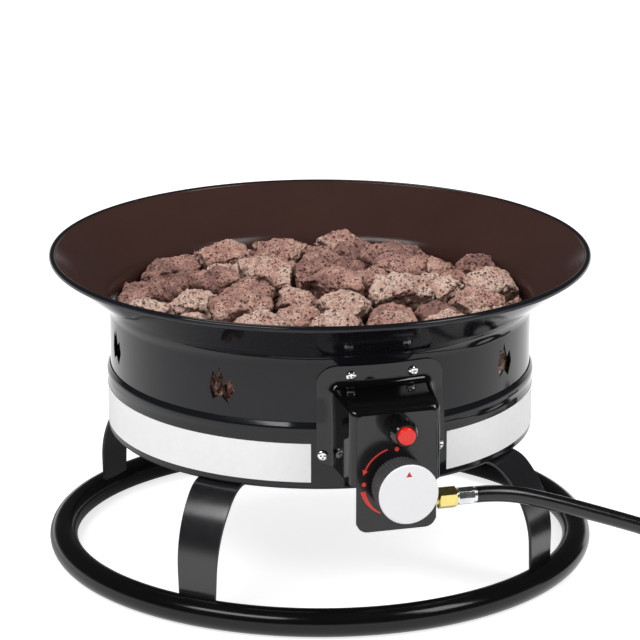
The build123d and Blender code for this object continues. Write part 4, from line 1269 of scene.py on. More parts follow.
@dataclass
class BasePan:
    """The pan under the bowl, with a rolled lip, drains and two bare labels round its wall."""

    radius: float = 0.1906
    inner_radius: float = 0.1891
    bottom: float = 0.117
    top: float = 0.177
    sheet: float = 0.0015
    lip_height: float = 0.011
    lip_out: float = 0.001
    lip_step: float = 0.72
    lip_lean: float = 1.8
    lip_gap: float = 0.0001
    foot_bend: float = 0.003
    inner_bend: float = 0.0016
    lip_bends: tuple[float, float, float, float] = (0.0025, 0.002, 0.0014, 0.0009)
    steps: int = 192
    drain_count: int = 4
    drain_circle: float = 0.14
    drain_size: tuple[float, float] = (0.016, 0.006)
    drain_cut: Span = (-0.004, 0.006)
    drain_corner: float = 0.0025
    label_bottom: float = 0.124
    label_top: float = 0.1586
    label_near: float = 18.6
    label_far: float = 106.0
    label_sheet: float = 0.0003
    label_gap: float = 0.00005
    label_steps: int = 72

    def shell(self) -> BMesh:
        """The pan's floor, wall and lip.

        Returns:
            The closed pan, before its drains are cut.
        """
        proud = self.radius + self.lip_out
        roll = proud - self.inner_radius - self.lip_gap
        foot, step, lean, top = self.lip_bends
        floor = self.bottom + self.sheet
        pan = Section(0.0, self.bottom).to(self.radius, self.bottom, self.foot_bend)
        pan.to(self.radius, self.top - self.lip_height, foot)
        pan.to(proud, self.top - self.lip_step * self.lip_height, step)
        pan.to(proud, self.top - self.lip_lean * roll, lean).to(proud - roll, self.top, top)
        pan.to(self.inner_radius, self.top).to(self.inner_radius, floor, self.inner_bend)
        return pan.to(0.0, floor).turned(self.steps)

    def drains(self) -> BMesh:
        """The slots that let rain out of the floor.

        Returns:
            A cutting form for all the slots.
        """
        length, width = (side / 2 for side in self.drain_size)
        start, end = (self.bottom + level for level in self.drain_cut)
        slot = prism(oblong(length, -width, width), start, end, self.drain_corner)
        turns = (k * FULL_TURN / self.drain_count + 90.0 for k in range(self.drain_count))
        out, along = Matrix.Translation((0.0, -self.drain_circle, 0.0)), round_to(90.0)
        return copied(slot, (round_to(turn) @ out @ along for turn in turns))

    def label(self, side: int) -> BMesh:
        """A bare label on one side of the wall.

        Args:
            side: -1 for the left, 1 for the right.

        Returns:
            The label's thin curved plate.
        """
        skin = self.radius + self.label_gap
        strip = band(skin, skin + self.label_sheet, self.label_bottom, self.label_top)
        plate = ends_filled(strip.turned(self.label_steps, self.label_far - self.label_near))
        start = self.label_near if side > 0 else -self.label_far
        plate.transform(round_to(start - 90.0))
        return plate

    def build(self) -> None:
        """Makes the pan and its labels."""
        form = carved(self.shell(), self.drains())
        placed("pan_shell", form, PAN_COAT, replaces=["base_pan"], crease=SHEET_CREASE)
        for side, word in ((-1, "left"), (1, "right")):
            placed(f"pan_label_{word}", self.label(side), LABEL)


@dataclass
class Stand:
    """The ring on the floor and the four bent straps that carry the pan."""

    ring_radius: float = 0.2335
    ring_steps: int = 192
    tube: float = 0.0125
    tube_steps: int = 28
    thickness: float = 0.003
    top_width: float = 0.043
    foot_width: float = 0.035
    tab_start: float = 0.152
    line_radius: float = 0.228
    knee: float = 0.03
    knee_steps: int = 10
    shin: float = 0.09
    shin_steps: int = 18
    pan_bottom: float = 0.117
    taper_top: float = 0.111
    bolt_circle: float = 0.174
    bolt_flats: float = 0.01
    bolt_head: float = 0.004
    bolt_edge: float = 0.0002
    bend_turn: float = 45.0
    strap_edge: float = 0.0006
    azimuths: dict[str, float] = field(
        default_factory=lambda: {
            "front_left": -44.0,
            "front_right": 42.5,
            "rear_left": -137.5,
            "rear_right": 136.0,
        }
    )

    def ring(self) -> BMesh:
        """The bent tube."""
        section = Section(self.ring_radius + self.tube, self.tube)
        return section.arc(self.ring_radius, self.tube, FULL_TURN, self.tube_steps).turned(self.ring_steps)

    def bent(self, bm: BMesh, edges: list[BMEdge], depth: float, height: float, steps: int) -> list[BMEdge]:
        """Bends a strap's end on by an eighth of a turn.

        Args:
            bm: The strap's middle sheet.
            edges: The edge at its end.
            depth: The bend's centre, as a distance in front of the bowl's axis.
            height: The centre's height.
            steps: How many straight pieces the bend has.

        Returns:
            The edge at the new end.
        """
        ends = swept(bm, edges, (0.0, -depth, height), (1.0, 0.0, 0.0), self.bend_turn, steps)
        return [item for item in ends if isinstance(item, BMEdge)]

    def strap(self) -> BMesh:
        """One strap at the front: along the pan, over the knee and down to the ring.

        Returns:
            The strap, with softened edges.
        """
        half = math.sin(math.radians(self.bend_turn))
        level = self.pan_bottom - self.thickness / 2
        tab_end = self.line_radius - self.knee * half - self.shin * (1.0 - half)
        knee_end = tab_end + self.knee * half
        shin_level = level - self.knee * (1.0 - half) - self.shin * half
        bm = bmesh.new()
        tab = [bm.verts.new((side * self.top_width / 2, -tab_end, level)) for side in (-1, 1)]
        tab += [bm.verts.new((side * self.top_width / 2, -self.tab_start, level)) for side in (1, -1)]
        bm.faces.new(tab)
        bend = self.bent(bm, [bm.edges.get(tab[:2])], tab_end, level - self.knee, self.knee_steps)
        bend = self.bent(bm, bend, knee_end - self.shin * half, shin_level, self.shin_steps)
        foot = bmesh.ops.extrude_edge_only(bm, edges=bend)["geom"]
        low = [item for item in foot if isinstance(item, BMVert)]
        bmesh.ops.translate(bm, verts=low, vec=(0.0, 0.0, self.tube - shin_level))
        narrow = self.foot_width / self.top_width
        for vert in bm.verts:
            down = (self.taper_top - vert.co.z) / (self.taper_top - self.tube)
            vert.co.x *= 1.0 + (narrow - 1.0) * min(1.0, max(0.0, down))
        close_up(bm)
        bmesh.ops.solidify(bm, geom=list(bm.faces), thickness=self.thickness)
        close_up(bm)
        highest = max(vert.co.z for vert in bm.verts)
        bmesh.ops.translate(bm, verts=bm.verts, vec=(0.0, 0.0, self.pan_bottom - highest))
        return soften(bm, self.strap_edge, angle=SHEET_ANGLE)

    def build(self) -> None:
        """Makes the ring, the straps and their bolts."""
        placed("ring_tube", self.ring(), BLACK_COAT, replaces=["base_ring"])
        for place, azimuth in self.azimuths.items():
            strap = self.strap()
            strap.transform(round_to(azimuth))
            placed(f"strap_{place}", strap, STRAP_COAT, replaces=[f"leg_{place}"])
        heads = hexagon(self.bolt_flats, -self.bolt_head, 0.0)
        tab = self.pan_bottom - self.thickness
        places = [Matrix.Translation(polar(self.bolt_circle, a, tab)) for a in self.azimuths.values()]
        heads = copied(soften(heads, self.bolt_edge), places)
        placed("bolt_heads", heads, ZINC, replaces=["leg_bolts"])
        dressed("leg_nuts", ZINC)


@dataclass
class ControlHousing:
    """The pressed housing: a rounded box on a curved flange, with a front plate, a dial and chrome screws."""

    panel_depth: float = 0.231
    back_depth: float = 0.1856
    half_width: float = 0.0395
    widening: float = 0.0055
    top: float = 0.2015
    top_rise: float = 0.0095
    bottom: float = 0.134
    bottom_rise: float = 0.0075
    corner: float = 0.007
    corner_steps: int = 8
    grid: int = 16
    sheet: float = 0.0012
    sheet_edge: float = 0.0003
    blend: float = 0.005
    blend_steps: int = 6
    blend_margin: float = 1.01
    flange_low: float = 0.1931
    flange_high: float = 0.19
    step_start: float = 0.1773
    step_end: float = 0.2
    step_bend: float = 0.0015
    flange_bottom: float = 0.1415
    flange_top: float = 0.2276
    flange_half_angle: float = 17.2
    flange_corners: tuple[float, float, float, float] = (0.008, 0.008, 0.018, 0.018)
    flange_cut: Span = (0.15, 0.22)
    flange_steps: int = 48
    room_bottom: float = 0.1
    room_rise: float = 0.006
    room_corner: float = 0.006
    plate_half_width: float = 0.0354
    plate_bottom: float = 0.0927
    plate_top: float = 0.1968
    plate_proud: float = 0.0003
    plate_corners: tuple[float, float, float, float] = (0.01, 0.01, 0.005, 0.005)
    valve_hole: float = 0.0072
    igniter_hole: float = 0.0081
    igniter_height: float = 0.185
    hole_cut: Span = (0.22, 0.24)
    hole_steps: int = 48
    dial_height: float = 0.136
    dial_radius: float = 0.0305
    dial_sweeps: tuple[tuple[float, float, float, float], ...] = (
        (106.0, 156.0, 0.0014, 0.0014),
        (192.0, 242.0, 0.0046, 0.001),
    )
    dot_circle: float = 0.029
    dot_radius: float = 0.002
    arrow_outline: tuple[Span, ...] = ((0.0, 0.0026), (-0.0044, 0.0), (0.0, -0.0026))
    print_sheet: float = 0.00012
    print_gap: float = 0.00003
    print_steps: int = 24
    screw_head: float = 0.0045
    screw_rise: float = 0.0024
    screw_steps: int = 40
    screw_side: float = 0.45
    screw_crown: tuple[float, float] = (0.72, 0.9)
    screw_bends: tuple[float, float] = (0.0005, 0.0009)
    screw_cross: tuple[float, float, float] = (0.58, 0.15, 0.1)
    screw_seats: tuple[tuple[float, float, float], ...] = (
        (-8.3, 0.2187, 0.19),
        (8.3, 0.2187, 0.19),
        (-15.6, 0.1494, 0.1931),
        (15.6, 0.1494, 0.1931),
    )

    def seat(self, x: float, z: float) -> float:
        """How far in front of the bowl's axis the flange's face is.

        Args:
            x: The place across the front.
            z: The height.

        Returns:
            The depth.
        """
        gone = min(1.0, max(0.0, (z - self.step_start) / (self.step_end - self.step_start)))
        radius = self.flange_low + gone * (self.flange_high - self.flange_low)
        return math.sqrt(radius * radius - x * x)

    def pressed(self, spot: Vector) -> Vector:
        """Where a point of the plain box lies on the pressing, which widens and rises to the back.

        Args:
            spot: The point, on a box whose sides run straight back and whose blend starts at the flange.

        Returns:
            The point on the pressing.
        """
        depth = -spot.y
        back = (self.panel_depth - depth) / (self.panel_depth - self.back_depth)
        x = spot.x * (1.0 + back * self.widening / self.half_width)
        up = (spot.z - self.bottom) / (self.top - self.bottom)
        z = spot.z + back * (self.bottom_rise + up * (self.top_rise - self.bottom_rise))
        if depth < self.flange_high + self.blend_margin * self.blend:
            depth += self.seat(x, z) - self.flange_high
        return Vector((x, -depth, z))

    def outwards(self, spot: Vector) -> Vector:
        """The way straight out of the box's side at a point of its edge.

        Args:
            spot: The point, before the box is pressed.

        Returns:
            A unit vector, level with the panel.
        """
        across = max(0.0, abs(spot.x) - self.half_width + self.corner)
        over = max(0.0, spot.z - self.top + self.corner)
        return Vector((math.copysign(across, spot.x), 0.0, over)).normalized()

    def box(self) -> BMesh:
        """The box's skin, blended into the flange all round and open below.

        Returns:
            The pressed box, as thick as its sheet.
        """
        rear = self.flange_high + self.blend
        bm = bmesh.new()
        spots = ((-1, self.bottom), (-1, self.top), (1, self.top), (1, self.bottom))
        front = [bm.verts.new((side * self.half_width, -self.panel_depth, z)) for side, z in spots]
        bm.faces.new(front)
        sides = [bm.edges.get(pair) for pair in zip(front, front[1:])]
        made = bmesh.ops.extrude_edge_only(bm, edges=sides)["geom"]
        moved = [item for item in made if isinstance(item, BMVert)]
        bmesh.ops.translate(bm, verts=moved, vec=(0.0, self.panel_depth - rear, 0.0))
        close_up(bm)
        bent = [edge for edge in bm.edges if edge.is_manifold]
        round_off(bm, bent, self.corner, Rounding.EDGES, self.corner_steps, clamp=False)
        for k in range(1, self.grid):
            height = self.bottom + k * (self.top - self.bottom) / self.grid
            across = (k - self.grid / 2) * self.half_width / (self.grid / 2)
            cuts = (((0.0, 0.0, height), (0.0, 0.0, 1.0)), ((across, 0.0, 0.0), (1.0, 0.0, 0.0)))
            for place, normal in cuts:
                whole = [*bm.verts, *bm.edges, *bm.faces]
                bmesh.ops.bisect_plane(bm, geom=whole, plane_co=place, plane_no=normal, dist=MERGE_REACH)
        end = [e for e in bm.edges if e.is_boundary and all(v.co.y > -rear - NEAR for v in e.verts)]
        for k in range(self.blend_steps):
            now, then = (math.radians(90.0 * n / self.blend_steps) for n in (k, k + 1))
            out = self.blend * (math.cos(now) - math.cos(then))
            back = self.blend * (math.sin(then) - math.sin(now))
            made = bmesh.ops.extrude_edge_only(bm, edges=end)["geom"]
            verts = {item for item in made if isinstance(item, BMVert)}
            for vert in verts:
                vert.co += self.outwards(vert.co) * out + Vector((0.0, back, 0.0))
            end = [item for item in made if isinstance(item, BMEdge) and verts.issuperset(item.verts)]
        for vert in bm.verts:
            vert.co = self.pressed(vert.co)
        close_up(bm)
        bmesh.ops.solidify(bm, geom=list(bm.faces), thickness=self.sheet)
        return close_up(bm)

    def flange(self) -> BMesh:
        """The curved flange round the box, stepped over the pan's lip.

        Returns:
            The flange, cut to its outline and open behind the box.
        """
        low, high, sheet = self.flange_low, self.flange_high, self.sheet
        bottom, top, bend = self.flange_bottom, self.flange_top, self.step_bend
        strip = Section(low - sheet, bottom).to(low - sheet, self.step_start, bend)
        strip.to(high - sheet, self.step_end, bend).to(high - sheet, top).to(high, top)
        strip.to(high, self.step_end, bend).to(low, self.step_start, bend).to(low, bottom)
        plate = ends_filled(strip.closed().turned(self.flange_steps, 2 * self.flange_half_angle))
        plate.transform(round_to(-90.0 - self.flange_half_angle))
        half = low * math.sin(math.radians(self.flange_half_angle))
        outline = prism(oblong(half, bottom, top), *self.flange_cut, self.flange_corners)
        inner = self.half_width + self.widening - self.sheet
        room = oblong(inner, self.room_bottom, self.top + self.room_rise)
        opening = prism(room, *self.flange_cut, self.room_corner)
        for tool in (outline, opening):
            tool.transform(Facing.FRONT.at())
        plate = carved(carved(plate, outline, Cut.INSIDE), opening)
        return soften(plate, self.sheet_edge, angle=SHEET_ANGLE)

    def plate(self) -> BMesh:
        """The flat plate on the box's front, which hangs below it.

        Returns:
            The plate, before its holes are cut.
        """
        sides = oblong(self.plate_half_width, self.plate_bottom, self.plate_top)
        face = self.panel_depth + self.plate_proud
        bm = prism(sides, self.panel_depth - self.sheet, face, self.plate_corners)
        bm.transform(Facing.FRONT.at())
        return soften(bm, self.sheet_edge, angle=SHEET_ANGLE)

    def holes(self) -> BMesh:
        """The holes for the valve's and the igniter's necks.

        Returns:
            A cutting form for both holes.
        """
        bars = []
        for radius, height in ((self.valve_hole, self.dial_height), (self.igniter_hole, self.igniter_height)):
            bar = rod(radius, *self.hole_cut)
            bars.append(bar.turned(self.hole_steps, place=Facing.FRONT.at((0.0, 0.0, height))))
        return joined(bars)

    def screw(self) -> BMesh:
        """A pan head with a cross recess, standing up from its seat.

        Returns:
            One screw's head, with its axis along Z.
        """
        width, rise = self.screw_head, self.screw_rise
        crown_width, crown_rise = self.screw_crown
        side_bend, crown_bend = self.screw_bends
        head = Section(0.0, 0.0).to(width, 0.0).to(width, self.screw_side * rise, side_bend)
        head.to(crown_width * width, crown_rise * rise, crown_bend).to(0.0, rise)
        reach, half, floor = self.screw_cross
        long, short = reach * width, half * width
        arm = [(long, -short), (long, short), (short, short)]
        cross = []
        for _ in range(4):
            cross += arm
            arm = [(-y, x) for x, y in arm]
        return carved(head.turned(self.screw_steps), prism(cross, floor * rise, 2 * rise))

    def screws(self) -> BMesh:
        """The four screws round the flange.

        Returns:
            The heads on their seats.
        """
        places = []
        for azimuth, height, seat in self.screw_seats:
            places.append(round_to(azimuth) @ Facing.FRONT.at((0.0, -seat, height)))
        return copied(self.screw(), places)

    def dot(self, across: float, up: float) -> BMesh:
        """A printed dot beside the knob.

        Args:
            across: Its place to the right of the knob's axis.
            up: Its place above the axis.

        Returns:
            The thin closed form.
        """
        bm = rod(self.dot_radius, 0.0, self.print_sheet).turned(self.print_steps)
        bmesh.ops.translate(bm, verts=bm.verts, vec=(across, up, 0.0))
        return bm

    def sweep(self, start: float, end: float, first: float, last: float) -> BMesh:
        """A printed arc about the knob's axis that changes width along its way.

        Args:
            start: The angle at which it starts, in degrees from the right.
            end: The angle at which it ends.
            first: Its width at the start.
            last: Its width at the end.

        Returns:
            The thin closed form.
        """
        radius = self.dial_radius
        strip = band(radius - first / 2, radius + first / 2, 0.0, self.print_sheet)
        bm = ends_filled(strip.turned(self.print_steps, end - start))
        for vert in bm.verts:
            gone = math.degrees(math.atan2(vert.co.y, vert.co.x)) / (end - start)
            flat = Vector((vert.co.x, vert.co.y))
            reach = radius + (flat.length - radius) * (1.0 + (last / first - 1.0) * gone)
            vert.co.x, vert.co.y = flat.normalized() * reach
        bm.transform(Matrix.Rotation(math.radians(start), 4, "Z"))
        return bm

    def dial(self) -> BMesh:
        """The printed dots, arc and wedge round the knob.

        Returns:
            All the marks, on the plate's face.
        """
        arrow = prism(self.arrow_outline, 0.0, self.print_sheet)
        radius, turn = self.dial_radius, math.radians(self.dial_sweeps[0][1])
        tip = Matrix.Translation((radius * math.cos(turn), radius * math.sin(turn), 0.0))
        arrow.transform(tip @ Matrix.Rotation(turn - math.radians(90.0), 4, "Z"))
        dots = [self.dot(0.0, self.dot_circle), self.dot(-self.dot_circle, 0.0)]
        marks = joined([*dots, *(self.sweep(*way) for way in self.dial_sweeps), arrow])
        face = self.panel_depth + self.plate_proud + self.print_gap
        marks.transform(Facing.FRONT.at((0.0, -face, self.dial_height)))
        return marks

    def build(self) -> None:
        """Makes the housing, its screws and its dial."""
        shell = joined([carved(self.box(), self.holes()), self.flange()])
        placed("housing_shell", shell, HOUSING_ENAMEL, replaces=["control_housing"], crease=SHEET_CREASE)
        placed("housing_plate", carved(self.plate(), self.holes()), PANEL_ENAMEL)
        placed("flange_screws", self.screws(), BRIGHT_SCREWS, replaces=["housing_screws"])
        placed("dial_marks", self.dial(), DIAL_PRINT)


@dataclass
class Controls:
    """The gas knob with its silver face, and the red igniter button in its collar."""

    knob_height: float = 0.136
    cap_radius: float = 0.02615
    grip_radius: float = 0.025
    cap_bends: tuple[float, float] = (0.0004, 0.0011)
    cap_steps: int = 128
    hub_radius: float = 0.016
    hub_rear: float = 0.2365
    hub_bend: float = 0.001
    hub_overlap: float = 0.0005
    hub_steps: int = 64
    well_radius: float = 0.0125
    well_end: float = 0.2405
    grip_rear: float = 0.239
    grip_front: float = 0.264
    front: float = 0.266
    ribs: int = 52
    rib_depth: float = 0.0009
    rib_edge: float = 0.0004
    rib_angle: float = 60.0
    pointer_outline: tuple[Span, ...] = ((-0.0026, 0.0157), (0.0026, 0.0157), (0.0, 0.0203))
    pointer_print: Span = (0.00002, 0.00014)
    pointer_corner: float = 0.0002
    igniter_height: float = 0.185
    panel_depth: float = 0.231
    collar_radius: float = 0.0125
    collar_front: float = 0.257
    collar_bore: float = 0.00815
    collar_ribs: int = 26
    collar_rib_depth: float = 0.0003
    collar_spare: float = 0.001
    dome_shoulder: float = 0.0002
    dome_fall: float = 0.0036
    dome_bend: float = 0.009
    dome_lip: float = 0.0011
    dome_lip_bend: float = 0.0008
    dome_steps: int = 96
    bore_chamfer: float = 0.0006
    button_radius: float = 0.0078
    button_rear: float = 0.247
    button_front: float = 0.261
    button_crown: float = 0.0006
    button_bend: float = 0.0016
    button_steps: int = 64

    def knob(self) -> BMesh:
        """The knob's ribbed grip and the hub behind it, with a well that clears the valve's nut.

        Returns:
            The grip and hub, with their axis along Z.
        """
        grip = ribbed(self.grip_radius, self.rib_depth, self.ribs, self.grip_rear, self.grip_front)
        well = rod(self.well_radius, self.hub_rear, self.well_end)
        grip = carved(soften(grip, self.rib_edge, 1, self.rib_angle), well.turned(self.hub_steps))
        end = self.grip_rear + self.hub_overlap
        hub = Section(self.well_radius, self.hub_rear).to(self.hub_radius, self.hub_rear, self.hub_bend)
        hub.to(self.hub_radius, end).to(self.well_radius, end)
        return joined([grip, hub.closed().turned(self.hub_steps)])

    def cap(self) -> BMesh:
        """The knob's silver face with a rounded edge.

        Returns:
            The face, with its axis along Z.
        """
        rear_bend, front_bend = self.cap_bends
        face = Section(0.0, self.grip_front).to(self.cap_radius, self.grip_front, rear_bend)
        face.to(self.cap_radius, self.front, front_bend)
        return face.to(0.0, self.front).turned(self.cap_steps)

    def pointer(self) -> BMesh:
        """The red triangle printed near the face's top."""
        start, end = (self.front + level for level in self.pointer_print)
        return prism(self.pointer_outline, start, end, self.pointer_corner)

    def collar(self) -> BMesh:
        """The igniter's lightly ribbed collar, round at its front and hollow for the button.

        Returns:
            The collar, with its axis along Z.
        """
        rear, front, radius = self.panel_depth, self.collar_front, self.collar_radius
        bore, slant = self.collar_bore, self.bore_chamfer
        sleeve = ribbed(radius, self.collar_rib_depth, self.collar_ribs, rear, front)
        dome = Section(0.0, rear).to(radius + self.collar_spare, rear)
        dome.to(radius + self.dome_shoulder, front - self.dome_fall, self.dome_bend)
        dome.to(bore + self.dome_lip, front, self.dome_lip_bend)
        sleeve = carved(sleeve, dome.to(0.0, front).turned(self.dome_steps), Cut.INSIDE)
        hole = Section(0.0, rear - self.collar_spare).to(bore, rear - self.collar_spare)
        hole.to(bore, front - slant).to(bore + 2 * slant, front + slant)
        return carved(sleeve, hole.to(0.0, front + slant).turned(self.button_steps))

    def button(self) -> BMesh:
        """The button's domed head.

        Returns:
            The head, with its axis along Z.
        """
        head = Section(0.0, self.button_rear).to(self.button_radius, self.button_rear)
        head.to(self.button_radius, self.button_front - self.button_crown, self.button_bend)
        return head.to(0.0, self.button_front).turned(self.button_steps)

    def build(self) -> None:
        """Makes the knob and the igniter."""
        dial = Facing.FRONT.at((0.0, 0.0, self.knob_height))
        for name, form, finish, nodes in (
            ("knob_grip", self.knob(), KNOB, ["knob_body"]),
            ("knob_silver_face", self.cap(), KNOB_FACE, ["knob_cap"]),
            ("knob_pointer", self.pointer(), POINTER, []),
        ):
            form.transform(dial)
            placed(name, form, finish, Body.KNOB, nodes)
        igniter = Facing.FRONT.at((0.0, 0.0, self.igniter_height))
        collar, button = self.collar(), self.button()
        collar.transform(igniter)
        button.transform(igniter)
        placed("igniter_sleeve", collar, GLOSS_PLASTIC, replaces=["igniter_collar"])
        placed("igniter_head", button, RED, Body.BUTTON, ["igniter_button"])
        dressed("igniter_body", GLOSS_PLASTIC)
        dressed("igniter_spring", SPRING)


@dataclass
class GasLine:
    """The valve's inner pieces, the inlet fittings, the hose in its coil and the regulator."""

    inlet_depth: float = 0.208
    inlet_height: float = 0.1085
    nut_start: float = 0.044
    nut_end: float = 0.06
    nut_flats: float = 0.017
    nut_bore: float = 0.00606
    nut_edge: float = 0.0003
    nut_angle: float = 25.0
    nut_turn: float = 30.0
    ferrule: float = 0.008
    ferrule_length: float = 0.0185
    ferrule_grip: Span = (0.1, 0.86)
    ferrule_inset: float = 0.0006
    ferrule_bends: tuple[float, float] = (0.0005, 0.0006)
    ferrule_edge: float = 0.0004
    ferrule_flats: int = 8
    fitting_steps: int = 48
    hose: float = 0.00725
    floor_level: float = 0.00885
    length: float = 3.113
    route: tuple[Span, ...] = (
        (0.0785, 0.1085),
        (0.10355, 0.1085),
        (0.144, 0.0964),
        (0.19, 0.0796),
        (0.24, 0.0606),
        (0.288, 0.0385),
        (0.33, 0.0175),
        (0.356, 0.00885),
        (0.384, 0.00885),
    )
    coil_start: float = 0.3985
    coil_radius: float = 0.101
    inner_radius: float = 0.06615
    end_radius: float = 0.104925
    pitch: float = 0.0157
    layer: float = 0.0151
    lower_turns: float = 2.25
    climb_turns: float = 0.5
    upper_turns: float = 2.5
    ease: float = 0.06
    tail: float = 0.036
    tail_points: tuple[float, float] = (0.4, 1.0)
    points_per_turn: int = 24
    regulator_place: tuple[float, float] = (0.503425, -0.0085)
    regulator_line: float = 0.02395
    drum_profile: Profile = ((0.032, 0.0, 0.003), (0.032, 0.036, 0.0012), (0.0, 0.036, 0.0))
    outlet_profile: Profile = ((0.009, 0.0, 0.0008), (0.009, 0.016, 0.0), (0.0, 0.016, 0.0))
    inlet_profile: Profile = ((0.011, 0.0, 0.0), (0.011, 0.012, 0.0008), (0.0, 0.012, 0.0))
    cover_profile: Profile = (
        (0.032, 0.036, 0.0006),
        (0.032, 0.042, 0.0016),
        (0.0275, 0.046, 0.0025),
        (0.019, 0.046, 0.001),
        (0.018, 0.0452, 0.0006),
        (0.0, 0.0452, 0.0),
    )
    vent_profile: Profile = ((0.006, 0.044, 0.0), (0.006, 0.05, 0.0012), (0.0, 0.05, 0.0))
    drum_steps: int = 96
    vent_steps: int = 40
    outlet_start: float = -0.0525
    inlet_start: float = 0.0195
    ferrule_start: float = -0.071
    wire_route: tuple[Point, ...] = (
        (0.0, -0.204, 0.172),
        (0.0, -0.204, 0.1617),
        (0.0011, -0.2122, 0.1549),
        (0.009, -0.2236, 0.1569),
        (0.022, -0.2225, 0.1522),
        (0.024, -0.2123, 0.143),
        (0.024, -0.2, 0.143),
    )
    wire: float = 0.0012
    valve_castings: tuple[tuple[str, str, Finish, float], ...] = (
        ("inlet_elbow", "elbow_fitting", BRASS, 0.0005),
        ("gas_valve_body", "valve_block", CASTING, 0.0008),
        ("valve_mount_nut", "valve_panel_nut", ZINC, 0.0003),
        ("valve_end_cap", "valve_rear_cap", CASTING, 0.0004),
    )
    valve_insides: tuple[tuple[str, Finish], ...] = (
        ("valve_plug", BRASS),
        ("valve_stem", ZINC),
        ("valve_spring", SPRING),
        ("orifice_jet", BRASS),
    )
    hose_ends: tuple[tuple[str, str, Finish, float, Body], ...] = (
        ("inlet_nipple", "tank_nipple", BRASS, 0.0003, Body.PIT),
        ("tank_nut", "tank_hand_nut", NUT_PLASTIC, 0.0007, Body.HAND_NUT),
        ("hose_tie", "coil_tie", TIE, 0.0003, Body.PIT),
    )

    def wound(self, turn: float) -> float:
        """The turns wound inwards, eased in from a straight start."""
        return turn * turn / (2 * self.ease) if turn < self.ease else turn - self.ease / 2

    def coil_point(self, turn: float) -> Point:
        """A point of the coil's route.

        Args:
            turn: The turns from the coil's start.

        Returns:
            The point, in the frame.
        """
        turns = self.lower_turns + self.climb_turns + self.upper_turns
        climbed = turn - self.lower_turns
        rise = 0.0
        if climbed <= 0.0:
            radius = self.coil_radius - self.pitch * self.wound(turn)
        elif climbed < self.climb_turns:
            share = climbed / self.climb_turns
            radius = self.inner_radius - self.pitch * climbed * (1.0 - share)
            rise = self.layer * (1.0 - math.cos(math.pi * share)) / 2
        else:
            radius = self.end_radius - self.pitch * self.wound(turns - turn)
            rise = self.layer
        angle = math.tau * turn - math.pi / 2
        middle = -self.inlet_depth + self.coil_radius
        return (
            self.coil_start + radius * math.cos(angle),
            middle + radius * math.sin(angle),
            self.floor_level + rise,
        )

    def cord(
        self, name: str, points: Sequence[Point], radius: float, finish: Finish, nodes: Sequence[str]
    ) -> Object:
        """A smooth cord along a route.

        Args:
            name: The cord's name.
            points: The route's points.
            radius: The cord's radius.
            finish: Its finish.
            nodes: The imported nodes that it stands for.

        Returns:
            The cord, which rides on the pit.
        """
        curve = bpy.data.curves.new(name, "CURVE")
        curve.dimensions = "3D"
        line = curve.splines.new("NURBS")
        line.points.add(len(points) - 1)
        for spot, point in zip(line.points, points):
            spot.co = (*point, 1.0)
        line.order_u = 3
        line.use_endpoint_u = True
        line.resolution_u = 8
        curve.bevel_depth = radius
        curve.bevel_resolution = 8
        curve.use_fill_caps = True
        curve.materials.append(finish.material)
        piece = shown(name, curve)
        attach(piece, Body.PIT.value)
        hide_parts(*nodes)
        log.info("%s: a cord of %d points", name, len(points))
        return piece

    def crimp(self, place: Matrix) -> BMesh:
        """A crimped ferrule along its own axis, from a place.

        Args:
            place: The transform that points the ferrule.

        Returns:
            The ferrule, in its place.
        """
        length, radius = self.ferrule_length, self.ferrule
        start, end = (share * length for share in self.ferrule_grip)
        near_bend, far_bend = self.ferrule_bends
        slim = radius - self.ferrule_inset
        grip = soften(rod(radius, start, end).turned(self.ferrule_flats, place=place), self.ferrule_edge)
        ends = Section(0.0, 0.0).to(slim, 0.0, near_bend).to(slim, length, far_bend).to(0.0, length)
        return joined([grip, ends.turned(self.fitting_steps, place=place)])

    def fittings(self) -> None:
        """The brass nut and the ferrule at the housing, and the valve's own pieces."""
        inlet = (0.0, -self.inlet_depth, self.inlet_height)
        nut = hexagon(self.nut_flats, self.nut_start, self.nut_end, self.nut_bore)
        nut = soften(nut, self.nut_edge, angle=self.nut_angle)
        nut.transform(Facing.RIGHT.at(inlet) @ round_to(self.nut_turn))
        placed("inlet_nut", nut, BRASS, replaces=["hose_nut"])
        end = (self.nut_end, -self.inlet_depth, self.inlet_height)
        placed("hose_crimp", self.crimp(Facing.RIGHT.at(end)), CRIMP, replaces=["hose_ferrule"])
        for casting in self.valve_castings:
            eased_copy(*casting)
        for node, finish in self.valve_insides:
            dressed(node, finish)

    def regulator_pieces(self) -> list[Object]:
        """The regulator's body, cover, nipple and hand nut, and the ferrule before them.

        Returns:
            The pieces that go where the hose's end goes.
        """
        x, y = self.regulator_place
        line = self.regulator_line
        middle = Matrix.Translation((x, y, 0.0))
        outlet = Facing.BACK.at((x, self.outlet_start, line))
        inlet = Facing.BACK.at((x, self.inlet_start, line))
        body = joined([
            capped(self.drum_profile).turned(self.drum_steps, place=middle),
            capped(self.outlet_profile).turned(self.fitting_steps, place=outlet),
            capped(self.inlet_profile).turned(self.fitting_steps, place=inlet),
        ])
        cover = capped(self.cover_profile).turned(self.drum_steps)
        lid = joined([cover, capped(self.vent_profile).turned(self.vent_steps)])
        lid.transform(middle)
        crimp = self.crimp(Facing.BACK.at((x, self.ferrule_start, line)))
        return [
            placed("regulator_crimp", crimp, CRIMP, replaces=["regulator_ferrule"]),
            placed("regulator_drum", body, REGULATOR, replaces=["regulator_body"]),
            placed("regulator_lid", lid, REGULATOR, replaces=["regulator_cover"]),
            *(eased_copy(*piece) for piece in self.hose_ends),
        ]

